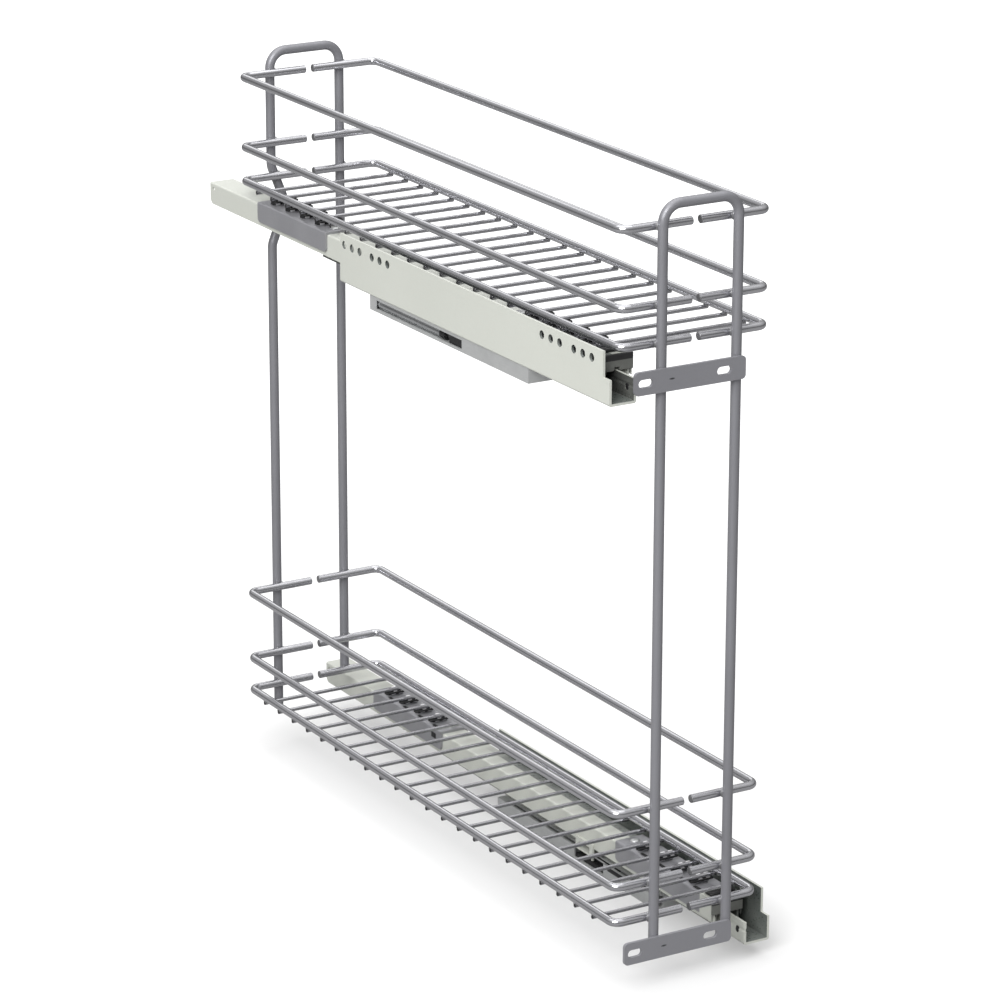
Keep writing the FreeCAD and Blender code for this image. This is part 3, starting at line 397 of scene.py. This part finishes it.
def makePlating(name, sizes):  # bare metal with drawing lines along the rails and a faint spangle
    material, tree, shader, place = startFinish(name, Metallic=sizes["metallic"])
    lengthwise = stretched(tree, place, sizes["grain"])
    lines = addNoise(tree, lengthwise, sizes["lineScale"], detail=4.0, roughness=0.6)
    cells = addCells(tree, place, sizes["spangleScale"])
    marks = useGroup(tree, "marks", place, Cover=platingBase["cover"])["Mask"]
    spangle = addRange(tree, cells, 0.0, 1.0, 0.0, sizes["spangle"])
    color = mixColor(tree, spangle, addTone(tree, place, sizes["driftScale"], sizes), sizes["bright"])
    streaks = addRange(tree, lines, *platingBase["lineBand"], 0.0, platingBase["lineShare"])
    color = mixColor(tree, streaks, color, sizes["dark"])
    rough = addRange(tree, lines, *noiseBand, sizes["smooth"], sizes["rough"])
    rough = addMath(tree, "ADD", rough, addMath(tree, "MULTIPLY", marks, platingBase["markRough"]))
    endFinish(tree, shader, color, rough, lines, sizes["bump"], platingBase["bumpDeep"])
    return material


platings = {
    "zincPlate": dict(
        metallic=0.6, grain=(1.0, 0.05, 1.0), lineScale=900, spangleScale=260, driftScale=30,
        light=(0.62, 0.63, 0.63), dark=(0.53, 0.54, 0.54), bright=(0.72, 0.73, 0.72), spangle=0.2,
        smooth=0.36, rough=0.52, bump=0.08),
    "damperAluminium": dict(
        metallic=1.0, grain=(0.06, 1.0, 0.06), lineScale=1300, spangleScale=900, driftScale=40,
        light=(0.62, 0.63, 0.64), dark=(0.48, 0.49, 0.50), bright=(0.74, 0.75, 0.76), spangle=0.12,
        smooth=0.2, rough=0.34, bump=0.1),
    "polishedSteel": dict(
        metallic=1.0, grain=(1.0, 0.2, 1.0), lineScale=1500, spangleScale=1200, driftScale=60,
        light=(0.68, 0.68, 0.69), dark=(0.56, 0.56, 0.57), bright=(0.8, 0.8, 0.8), spangle=0.1,
        smooth=0.07, rough=0.16, bump=0.03),
}

mouldingBase = dict(flakeScale=3200, driftScale=45, cover=0.6, rubbedShare=0.35, dustShare=0.06,
                    dustColor=(0.4, 0.4, 0.38), bumpDeep=0.0003)


def makeMoulding(name, sizes):
    material, tree, shader, place = startFinish(name, Specular_IOR_Level=sizes["specular"])
    peel = useGroup(tree, "flake", place, Flake_Scale=mouldingBase["flakeScale"],
                    Peel_Scale=sizes["peelScale"])["Peel"]
    marks = useGroup(tree, "marks", place, Cover=mouldingBase["cover"])["Mask"]
    dust = useGroup(tree, "dust", place)["Mask"]
    color = addTone(tree, place, mouldingBase["driftScale"], sizes)
    color = tint(tree, color, marks, mouldingBase["rubbedShare"], sizes["rubbed"])
    color = tint(tree, color, dust, mouldingBase["dustShare"], mouldingBase["dustColor"])
    rough = addRange(tree, peel, *noiseBand, sizes["smooth"], sizes["rough"])
    endFinish(tree, shader, color, rough, peel, sizes["bump"], mouldingBase["bumpDeep"])
    return material


mouldings = {
    "catchPlastic": dict(
        specular=0.45, peelScale=1500, light=(0.013, 0.013, 0.014), dark=(0.008, 0.008, 0.009),
        rubbed=(0.06, 0.06, 0.06), smooth=0.38, rough=0.55, bump=0.2),
    "cagePlastic": dict(
        specular=0.5, peelScale=1200, light=(0.62, 0.62, 0.57), dark=(0.54, 0.54, 0.49),
        rubbed=(0.7, 0.7, 0.66), smooth=0.34, rough=0.5, bump=0.12),
}

finishes = {}
for make, table in ((makeLacquer, lacquers), (makePlating, platings), (makeMoulding, mouldings)):
    finishes.update({name: make(name, sizes) for name, sizes in table.items()})
print("finishes:", ", ".join(finishes))

finishOf = {"wire": "wireLacquer", "frame": "postLacquer", "saddle": "saddleLacquer", "rail": "railCoat",
            "zinc": "zincPlate", "steel": "polishedSteel", "damper": "damperAluminium", "catch": "catchPlastic",
            "cage": "cagePlastic"}
finishOfNode = {"_cabinet_rail": "channelCoat", "_middle_rail": "middleRailCoat",
                "_basket_rail": "basketRailCoat", "_front_bracket": "bracketLacquer",
                "_floor_wires": "floorWireLacquer"}
for part in frame["record"]["subparts"]:
    piece = nodes[part["node"]]
    piece.data.materials.clear()
    piece.data.materials.append(finishes[finishOf[part["material_slot"]]])
for tier, (ending, finish) in product(tiers, finishOfNode.items()):
    nodes[tier + ending].data.materials[0] = finishes[finish]


# pieces that repeat, each grown on a cloud of spots by Geometry Nodes

def newTree(name, sizes):
    tree = bpy.data.node_groups.new(name, "GeometryNodeTree")
    tree.interface.new_socket("Spots", in_out="INPUT", socket_type="NodeSocketGeometry")
    for label, value in sizes.items():
        tree.interface.new_socket(label, in_out="INPUT", socket_type="NodeSocketFloat").default_value = value
    tree.interface.new_socket("Seed", in_out="INPUT", socket_type="NodeSocketInt")
    tree.interface.new_socket("Finish", in_out="INPUT", socket_type="NodeSocketMaterial")
    tree.interface.new_socket("Geometry", in_out="OUTPUT", socket_type="NodeSocketGeometry")
    return tree, tree.nodes.new("NodeGroupInput").outputs, tree.nodes.new("NodeGroupOutput").inputs


def moveShape(tree, mesh, lift, size=None):
    shape = tree.nodes.new("GeometryNodeTransform")
    tree.links.new(mesh, shape.inputs["Geometry"])
    if size is not None:
        tree.links.new(size, shape.inputs["Scale"])
    tree.links.new(joinAxes(tree, 0.0, 0.0, lift), shape.inputs["Translation"])
    return shape.outputs["Geometry"]


def joinShapes(tree, shapes):
    join = tree.nodes.new("GeometryNodeJoinGeometry")
    for shape in shapes:
        tree.links.new(shape, join.inputs["Geometry"])
    return join.outputs["Geometry"]


def addDome(tree, segments, rings, size, lift=0.0):  # a flattened ball, sunk half way into what carries it
    ball = addNode(tree, "GeometryNodeMeshUVSphere", {"Segments": segments, "Rings": rings, "Radius": 1.0})
    return moveShape(tree, ball.outputs["Mesh"], lift, size)


def addRod(tree, vertices, radius, depth, share):  # lifted by a share of its depth
    rod = addNode(tree, "GeometryNodeMeshCylinder", {"Vertices": vertices})
    tree.links.new(radius, rod.inputs["Radius"])
    tree.links.new(depth, rod.inputs["Depth"])
    return moveShape(tree, rod.outputs["Mesh"], addMath(tree, "MULTIPLY", depth, share))


def readSpots(tree, name):
    values = {"Name": name}
    return addNode(tree, "GeometryNodeInputNamedAttribute", values, data_type="FLOAT_VECTOR").outputs["Attribute"]


def growOnSpots(tree, start, end, shape, spread=0.0):  # one copy per spot, turned to face outwards
    turn = addNode(tree, "FunctionNodeAlignRotationToVector", axis="Z")
    twist = addNode(tree, "FunctionNodeAlignRotationToVector", axis="X", pivot_axis="Z")
    tree.links.new(readSpots(tree, "facing"), turn.inputs["Vector"])
    tree.links.new(turn.outputs["Rotation"], twist.inputs["Rotation"])
    tree.links.new(readSpots(tree, "along"), twist.inputs["Vector"])
    vary = addNode(tree, "FunctionNodeRandomValue", {2: 1.0 - spread, 3: 1.0 + spread}, data_type="FLOAT")
    tree.links.new(start["Seed"], vary.inputs["Seed"])
    copies = tree.nodes.new("GeometryNodeInstanceOnPoints")
    tree.links.new(start["Spots"], copies.inputs["Points"])
    tree.links.new(shape, copies.inputs["Instance"])
    tree.links.new(twist.outputs["Rotation"], copies.inputs["Rotation"])
    tree.links.new(vary.outputs[1], copies.inputs["Scale"])  # the float output
    grown = copies.outputs["Instances"]
    for kind in ("GeometryNodeRealizeInstances", "GeometryNodeSetShadeSmooth", "GeometryNodeSetMaterial"):
        step = tree.nodes.new(kind)
        tree.links.new(grown, step.inputs["Geometry"])
        grown = step.outputs["Geometry"]
    tree.links.new(start["Finish"], step.inputs["Material"])
    tree.links.new(grown, end["Geometry"])


def domeTree(name, segments, rings, spread=0.0):
    tree, start, end = newTree(name, {"Length": 0.001, "Width": 0.001, "Rise": 0.001})
    size = joinAxes(tree, start["Length"], start["Width"], start["Rise"])
    growOnSpots(tree, start, end, addDome(tree, segments, rings, size), spread)
    return tree


rivetForm = dict(domeShare=0.94, domeSegments=24, domeRings=12, flangeSides=28, shankSides=20)


def rivetTree(name, sizes):  # a domed head on a thin flange, with a shank below
    tree, start, end = newTree(name, sizes)
    room = addMath(tree, "SUBTRACT", start["Rise"], start["Flange"])
    wide = addMath(tree, "MULTIPLY", start["Head"], rivetForm["domeShare"])
    dome = addDome(tree, rivetForm["domeSegments"], rivetForm["domeRings"], joinAxes(tree, wide, wide, room),
                   start["Flange"])
    flange = addRod(tree, rivetForm["flangeSides"], start["Head"], start["Flange"], share=0.5)
    shank = addRod(tree, rivetForm["shankSides"], start["Shank"], start["Depth"], share=-0.5)
    growOnSpots(tree, start, end, joinShapes(tree, (dome, flange, shank)))
    return tree


padForm = dict(ribWide=0.8, ribLong=0.3, crease=0.4)


def padTree(name):  # a soft-edged block with a rib on top
    tree, start, end = newTree(name, {"Wide": 0.01, "Long": 0.004, "High": 0.0005, "Rib": 0.0003})
    slim = addMath(tree, "MULTIPLY", start["Wide"], padForm["ribWide"])
    narrow = addMath(tree, "MULTIPLY", start["Long"], padForm["ribLong"])
    tall = addMath(tree, "ADD", start["High"], start["Rib"])
    shapes = []
    for size in ((start["Wide"], start["Long"], start["High"]), (slim, narrow, tall)):
        block = addNode(tree, "GeometryNodeMeshCube", {"Vertices X": 4, "Vertices Y": 4, "Vertices Z": 3})
        tree.links.new(joinAxes(tree, *size), block.inputs["Size"])
        soft = addNode(tree, "GeometryNodeSubdivisionSurface", {"Level": 1, "Edge Crease": padForm["crease"]})
        tree.links.new(block.outputs["Mesh"], soft.inputs["Mesh"])
        shapes.append(moveShape(tree, soft.outputs["Mesh"], addMath(tree, "MULTIPLY", size[2], 0.5)))
    growOnSpots(tree, start, end, joinShapes(tree, shapes))
    return tree


def growPiece(name, spots, tree, sizes, finish, body="rack", seed=3):
    mesh = bpy.data.meshes.new(name + "Spots")
    mesh.from_pydata([spot for spot, facing, along in spots], [], [])
    for key, column in (("facing", 1), ("along", 2)):
        layer = mesh.attributes.new(key, "FLOAT_VECTOR", "POINT")
        for number, spot in enumerate(spots):
            layer.data[number].vector = spot[column]
    seedbed = bpy.data.objects.new(name + "Spots", mesh)
    bpy.context.collection.objects.link(seedbed)
    modifier = seedbed.modifiers.new("grow", "NODES")
    modifier.node_group = tree
    values = dict(sizes, Seed=seed, Finish=finishes[finish])
    for item in tree.interface.items_tree:
        if item.in_out == "INPUT" and item.name in values:
            modifier[item.identifier] = values[item.name]
    graph = bpy.context.evaluated_depsgraph_get()
    grown = bpy.data.meshes.new_from_object(seedbed.evaluated_get(graph), depsgraph=graph)
    seedbed.modifiers.remove(modifier)
    bpy.data.objects.remove(seedbed)
    piece = bpy.data.objects.new(name, grown)
    bpy.context.collection.objects.link(piece)
    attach(piece, body)
    print(name, len(spots), "copies,", len(grown.polygons), "faces")
    return piece


# in each piece's dictionary capital keys are sizes of the shape, and the others say where it goes

basket = dict(halfWide=0.04825, halfLong=0.226, ringWire=0.005, ringGap=0.006, levels=(0.0, 0.0221, 0.0673),
              floorWire=0.0025, floorCount=22, floorRear=0.0208, floorFront=0.0224, floorReach=0.001)
frames = dict(postX=0.025, postY=0.2315, rearFeet=(-0.017, -0.0025), frontFoot=-0.01975, stepX=-0.016,
              stepTop=0.3505, stepRun=0.023, stepLow=0.2985)
upwards = ((0, 0, 1), (1, 0, 0))  # facing and along of what lies flat


def floorRows():
    first = basket["halfLong"] - basket["floorRear"]
    last = basket["floorFront"] - basket["halfLong"]
    pitch = (first - last) / (basket["floorCount"] - 1)
    return [first - pitch * number for number in range(basket["floorCount"])]


def rearPostX(side, height):  # the rear left post steps aside round the upper runner
    if side > 0 or height > frames["stepTop"] or height < frames["stepLow"]:
        return side * frames["postX"]
    fromTop = min(1.0, (frames["stepTop"] - height) / frames["stepRun"])
    fromLow = min(1.0, (height - frames["stepLow"]) / frames["stepRun"])
    return -frames["postX"] + (frames["stepX"] + frames["postX"]) * min(fromTop, fromLow)


def middleOf(node):
    low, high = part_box(node)
    return (low.x + high.x) / 2


floorWelds = {"Length": 0.0013, "Width": 0.0008, "Rise": 0.0007, "aside": 0.00105, "below": 0.0003,
              "lean": 0.6, "fall": -0.8}
spots = []
for tier, y, side, beside in product(tiers.values(), floorRows(), sides, sides):
    height = tier["rise"] - basket["ringWire"] / 2 - floorWelds["below"]
    spot = (side * basket["halfWide"], y + beside * floorWelds["aside"], height)
    spots.append((spot, (0, beside * floorWelds["lean"], floorWelds["fall"]), (1, 0, 0)))
weldShape = domeTree("floorWeldTree", segments=10, rings=6, spread=0.18)
growPiece("floorWelds", spots, weldShape, floorWelds, "weldLacquer", seed=11)

postWelds = {"Length": 0.0024, "Width": 0.0012, "Rise": 0.0011, "aside": 0.0019, "out": 0.0001, "above": 0.0002}
spots = []
for tier, level, end, side, beside in product(tiers.values(), basket["levels"], sides, sides, sides):
    height = tier["rise"] + level
    x = side * frames["postX"] if end < 0 else rearPostX(side, height)
    y = end * (basket["halfLong"] + basket["ringWire"] / 2 + postWelds["out"])
    spot = (x + beside * postWelds["aside"], y, height + postWelds["above"])
    spots.append((spot, (beside, 0, 0), (0, 0, 1)))
weldShape = domeTree("postWeldTree", segments=14, rings=8, spread=0.15)
growPiece("postWelds", spots, weldShape, postWelds, "weldLacquer", seed=5)

# near-black domes: painted shade on the floor-wire ends under the base ring
floorEnds = {"Length": 0.00122, "Width": 0.00122, "Rise": 0.0005}
reach = basket["halfWide"] + basket["floorReach"]
drop = (basket["ringWire"] + basket["floorWire"]) / 2
spots = [((side * reach, y, tier["rise"] - drop), (side, 0, 0), (0, 1, 0))
         for tier, y, side in product(tiers.values(), floorRows(), sides)]
endShape = domeTree("floorEndTree", segments=14, rings=6)
growPiece("floorWireEnds", spots, endShape, floorEnds, "wireEnd")

ringEnds = {"Length": 0.00245, "Width": 0.00245, "Rise": 0.0007}
spots = []
for tier, level, end, side in product(tiers.values(), basket["levels"], sides, sides):
    spot = (side * basket["ringGap"] / 2, end * basket["halfLong"], tier["rise"] + level)
    spots.append((spot, (-side, 0, 0), (0, 1, 0)))
endShape = domeTree("ringEndTree", segments=24, rings=8)
growPiece("ringEnds", spots, endShape, ringEnds, "weldLacquer")

postEnds = {"Length": 0.00292, "Width": 0.00292, "Rise": 0.0009}
spots = []
for side, rearFoot in zip(sides, frames["rearFeet"]):
    for y, foot in ((frames["postY"], rearFoot), (-frames["postY"], frames["frontFoot"])):
        spots.append(((side * frames["postX"], y, foot), (0, 0, -1), (1, 0, 0)))
endShape = domeTree("postEndTree", segments=24, rings=8)
growPiece("postEnds", spots, endShape, postEnds, "weldLacquer")

bracketWelds = {"Length": 0.0058, "Width": 0.0011, "Rise": 0.0009, "aside": 0.0015, "ahead": 0.0027}
brackets = (dict(height=-0.016, right=0.02585), dict(height=0.326, right=0.02835))
spots = []
for bracket, side, beside in product(brackets, sides, sides):
    x = side * frames["postX"] + beside * bracketWelds["aside"]
    if x + bracketWelds["Width"] < bracket["right"]:  # only where the plate backs the bead
        spot = (x, -frames["postY"] - bracketWelds["ahead"], bracket["height"])
        spots.append((spot, (beside, 1, 0), (0, 0, 1)))
weldShape = domeTree("bracketWeldTree", segments=16, rings=8, spread=0.06)
growPiece("bracketWelds", spots, weldShape, bracketWelds, "weldLacquer", seed=8)

clipRows = (1, 2, 3, 4, 17, 18, 19, 20)  # floor wires that the saddles hold
clipPieces = {
    "clipWindowShades": {"Wide": 0.0108, "Long": 0.0046, "High": 0.0046, "Rib": 0.0004,  # black block in the window behind each clip, a dark piece standing for the shade there
                 "behind": 0.00495, "below": 0.0101, "inward": 0.0},
    "clipShadowBars": {"Wide": 0.0165, "Long": 0.0030, "High": 0.0013, "Rib": 0.0002,  # black bar on the prongs' shelves, a dark piece standing for the shadow under the wire
                  "behind": -0.0003, "below": 0.0065, "inward": 0.0019},
    "clipLegs": {"Wide": 0.0020, "Long": 0.0080, "High": 0.0005, "Rib": 0.0002,  # on the saddle ahead of each clip
                 "behind": -0.0055, "below": 0.0086, "inward": 0.0075},
}
padShape = padTree("clipPadTree")
for name, sizes in clipPieces.items():
    spots = []
    for (tier, place), row in product(tiers.items(), clipRows):
        x = middleOf(tier + "_basket_rail") - place["hand"] * sizes["inward"]
        spots.append(((x, floorRows()[row] + sizes["behind"], place["rise"] - sizes["below"]), *upwards))
    growPiece(name, spots, padShape, sizes, "catchPlastic")

saddleRivets = {"Head": 0.003, "Rise": 0.0012, "Flange": 0.0003, "Shank": 0.0018, "Depth": 0.0027}
rivetInset = 0.006  # from each end of a saddle
rivetShape = rivetTree("saddleRivetTree", saddleRivets)
for tier in tiers:
    x = middleOf(tier + "_saddle_rivets")
    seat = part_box(tier + "_saddle_rivets")[1].z - saddleRivets["Rise"]
    spots = []
    for saddle in ("_rear_saddle", "_front_saddle"):
        low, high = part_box(tier + saddle)
        spots += [((x, y, seat), *upwards) for y in (low.y + rivetInset, high.y - rivetInset)]
    rivets = growPiece(tier + "SaddleRivets", spots, rivetShape, saddleRivets, "zincPlate")
    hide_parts(tier + "_saddle_rivets")


# moulded cap on the front end of each basket rail, slotted for the track wall, and a pale sleeve behind it

railCap = dict(deep=0.0028, flange=0.0016, brim=0.0020, lip=0.0021, sheet=0.00145, gap=0.0017, crown=0.0055,
               foot=0.0064, bevel=0.0003, rounds=3)
railSleeve = dict(back=0.0125, wall=0.0005, ease=0.00003, drop=0.0006, saddleSheet=0.0015, bevel=0.00012, rounds=2)


def addArch(shape, middle, outer, top, inner, ceiling, foot, near, far):  # drawn out from near to far
    outline = [(-outer, foot), (-outer, top), (outer, top), (outer, foot),
               (inner, foot), (inner, ceiling), (-inner, ceiling), (-inner, foot)]
    face = shape.faces.new([shape.verts.new((middle + x, near, z)) for x, z in outline])
    grown = bmesh.ops.extrude_face_region(shape, geom=[face])
    moved = [part for part in grown["geom"] if isinstance(part, bmesh.types.BMVert)]
    bmesh.ops.translate(shape, verts=moved, vec=(0, far - near, 0))


def placeShape(name, shape, sizes, finish):
    bmesh.ops.bevel(shape, geom=list(shape.edges), offset=sizes["bevel"], segments=sizes["rounds"],
                    affect="EDGES", clamp_overlap=True)
    bmesh.ops.recalc_face_normals(shape, faces=list(shape.faces))
    mesh = bpy.data.meshes.new(name)
    shape.to_mesh(mesh)
    shape.free()
    mesh.materials.append(finishes[finish])
    piece = bpy.data.objects.new(name, mesh)
    bpy.context.collection.objects.link(piece)
    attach(piece, "rack")


def makeRailCap(tier):
    low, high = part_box(tier + "_basket_rail")
    half, sheet = (high.x - low.x) / 2, railCap["sheet"]
    ceiling, foot = high.z - railCap["crown"], low.z + railCap["foot"]
    layers = ((half + railCap["brim"], high.z + railCap["lip"], low.y - railCap["flange"], low.y),
              (half - sheet, high.z - sheet, low.y - railCap["flange"] / 2, low.y + railCap["deep"]))
    shape = bmesh.new()
    for wide, top, near, far in layers:
        addArch(shape, middleOf(tier + "_basket_rail"), wide, top, railCap["gap"], ceiling, foot, near, far)
    placeShape(tier + "RailCap", shape, railCap, "capCoat")


def makeRailSleeve(tier):  # over the front end of the front saddle
    low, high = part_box(tier + "_front_saddle")
    railLow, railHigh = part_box(tier + "_basket_rail")
    inner = (high.x - low.x) / 2 + railSleeve["ease"]
    ceiling = railHigh.z + railSleeve["saddleSheet"] + railSleeve["ease"]
    shape = bmesh.new()
    addArch(shape, middleOf(tier + "_front_saddle"), inner + railSleeve["wall"], ceiling + railSleeve["wall"],
            inner, ceiling, low.z - railSleeve["drop"], railLow.y, railLow.y + railSleeve["back"])
    placeShape(tier + "RailSleeve", shape, railSleeve, "basketRailCoat")


for tier in tiers:
    makeRailCap(tier)
    makeRailSleeve(tier)
print("rail caps and sleeves placed")

rivetCovers = {"Wide": 0.0180, "Long": 0.0080, "High": 0.0019, "Rib": 0.0002,  # moulded cover over each front rivet
               "behind": 0.003, "below": 0.0080}
# black dome filling each track eye hole, a dark piece standing for the shade seen through it
eyeHoleShades = {"Length": 0.0026, "Width": 0.0026, "Rise": 0.0009, "along": -0.222, "below": 0.0242}
skirtStops = {"Wide": 0.0056, "Long": 0.0036, "High": 0.0004, "Rib": 0.0002, "behind": 0.0092, "below": 0.0134}
housingLugs = {"Wide": 0.0180, "Long": 0.0026, "High": 0.0006, "Rib": 0.0002,  # clips each housing to its rail
               "along": -0.0965, "below": 0.0016, "sunk": 0.0001}
covers, eyeShades, stops, lugs = [], [], [], []
for tier, place in tiers.items():
    rise, inwards = place["rise"], ((-place["hand"], 0, 0), (0, 1, 0))
    rivetX, rivetLow = middleOf(tier + "_saddle_rivets"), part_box(tier + "_saddle_rivets")[0]
    covers.append(((rivetX, rivetLow.y + rivetCovers["behind"], rise - rivetCovers["below"]), *upwards))
    eyeShades.append(((rivetX, eyeHoleShades["along"], rise - eyeHoleShades["below"]), *inwards))
    low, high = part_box(tier + "_rear_saddle")
    inner = min((low.x, high.x), key=abs)
    stops.append(((inner, low.y + skirtStops["behind"], rise - skirtStops["below"]), *inwards))
    low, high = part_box(tier + "_softclose_housing")
    inner = min((low.x, high.x), key=abs) + place["hand"] * housingLugs["sunk"]
    lugs.append(((inner, housingLugs["along"], high.z - housingLugs["below"]), *inwards))
eyeShadeShape = domeTree("eyeHoleShadeTree", segments=20, rings=8)
growPiece("rivetCovers", covers, padShape, rivetCovers, "catchPlastic")
growPiece("eyeHoleShades", eyeShades, eyeShadeShape, eyeHoleShades, "catchPlastic", body="cabinet_side")
growPiece("skirtStops", stops, padShape, skirtStops, "catchPlastic")
growPiece("housingLugs", lugs, padShape, housingLugs, "catchPlastic", body="cabinet_side")


# stage, light and camera

studio = dict(floorGap=0.0002, floorHalf=14.0, floorTone=0.48, floorSeen=0.32, glowNear=0.5,
              glowFar=0.9, glowReach=(0.3, 1.6), skyReach=(0.05, 0.8), skyLow=0.10, skyHigh=0.8)
shade = dict(middle=(0.02, 0.0, 0.0), half=(0.035, 0.22, 1.0), soft=0.065, glow=0.27)  # painted shadow: the floor glows dimmer under the rack


def measure(tree, operation, source, output, other=None):
    node = addNode(tree, "ShaderNodeVectorMath", operation=operation)
    tree.links.new(source, node.inputs[0])
    if other is not None:
        node.inputs[1].default_value = other
    return node.outputs[output]


def makeFloor():
    mesh = bpy.data.meshes.new("studioFloor")
    half, height = studio["floorHalf"], cadBox[0][2] - studio["floorGap"]
    corners = [(-half, -half, height), (half, -half, height), (half, half, height), (-half, half, height)]
    mesh.from_pydata(corners, [], [(0, 1, 2, 3)])
    floor = bpy.data.objects.new("studioFloor", mesh)
    bpy.context.collection.objects.link(floor)
    material = bpy.data.materials.new("studioFloor")
    material.use_nodes = True
    tree = material.node_tree
    tree.nodes.remove(tree.nodes["Principled BSDF"])
    pale, dim = [addNode(tree, "ShaderNodeBsdfDiffuse", {"Color": (*[studio[tone]] * 3, 1)})
                 for tone in ("floorTone", "floorSeen")]
    glow = tree.nodes.new("ShaderNodeEmission")
    place = tree.nodes.new("ShaderNodeTexCoord").outputs["Object"]
    away = measure(tree, "LENGTH", place, "Value")
    centred = measure(tree, "ABSOLUTE", measure(tree, "SUBTRACT", place, "Vector", shade["middle"]), "Vector")
    beyond = measure(tree, "SUBTRACT", centred, "Vector", shade["half"])
    beyond = measure(tree, "LENGTH", measure(tree, "MAXIMUM", beyond, "Vector", (0, 0, 0)), "Value")
    near = addRange(tree, beyond, 0.0, shade["soft"], shade["glow"], studio["glowNear"])
    far = addRange(tree, away, *studio["glowReach"], 0.0, studio["glowFar"] - studio["glowNear"])
    tree.links.new(addMath(tree, "ADD", near, far), glow.inputs["Strength"])
    both = tree.nodes.new("ShaderNodeAddShader")
    tree.links.new(pale.outputs[0], both.inputs[0])
    tree.links.new(glow.outputs[0], both.inputs[1])
    path = tree.nodes.new("ShaderNodeLightPath")
    mix = tree.nodes.new("ShaderNodeMixShader")
    tree.links.new(path.outputs["Is Camera Ray"], mix.inputs["Fac"])
    tree.links.new(dim.outputs[0], mix.inputs[1])
    tree.links.new(both.outputs[0], mix.inputs[2])
    tree.links.new(mix.outputs[0], tree.nodes["Material Output"].inputs["Surface"])
    mesh.materials.append(material)


def makeSky():
    world = bpy.data.worlds.new("studioWorld")
    world.use_nodes = True
    tree = world.node_tree
    background = tree.nodes["Background"].inputs
    background["Color"].default_value = (1, 1, 1, 1)
    upward = splitAxes(tree, tree.nodes.new("ShaderNodeTexCoord").outputs["Generated"])["Z"]
    sky = addRange(tree, upward, *studio["skyReach"], studio["skyLow"], studio["skyHigh"])
    tree.links.new(sky, background["Strength"])
    bpy.context.scene.world = world


def addLamp(name, place, target, wide, tall, power):
    lamp = bpy.data.lights.new(name, "AREA")
    lamp.shape = "RECTANGLE"
    lamp.size, lamp.size_y = wide, tall
    lamp.energy = power
    holder = bpy.data.objects.new(name, lamp)
    bpy.context.collection.objects.link(holder)
    holder.location = place
    holder.rotation_euler = (Vector(target) - Vector(place)).to_track_quat("-Z", "Y").to_euler()


lamps = {
    "overheadLamp": dict(place=(0.0, 0.2, 2.6), target=(0, 0, 0), wide=2.6, tall=2.6, power=30),
    "leftLamp": dict(place=(-2.15, -1.6, 2.0), target=(0, 0, 0.2), wide=1.9, tall=1.9, power=108),
    "backLamp": dict(place=(0.9, 2.4, 1.6), target=(0, 0, 0.2), wide=1.6, tall=1.2, power=6),
}
makeFloor()
makeSky()
for name, sizes in lamps.items():
    addLamp(name, **sizes)

view = dict(place=(-1.28683, -2.18225, 1.0060), right=(0.86024, -0.50989, 0.00204), up=(0.15533, 0.26586, 0.95141),
            lens=156.75, sensor=36.0, farthest=60.0)
camera = bpy.data.objects.new("photoCamera", bpy.data.cameras.new("photoCamera"))
camera.data.sensor_width = view["sensor"]
camera.data.lens = view["lens"]
camera.data.clip_end = view["farthest"]
right, up = Vector(view["right"]).normalized(), Vector(view["up"])
back = right.cross(up).normalized()
up = back.cross(right)
camera.matrix_world = Matrix.Translation(view["place"]) @ Matrix((right, up, back)).transposed().to_4x4()
bpy.context.collection.objects.link(camera)
bpy.context.scene.camera = camera
bpy.context.scene.view_settings.view_transform = "Standard"
print("stage, lamps and camera set")
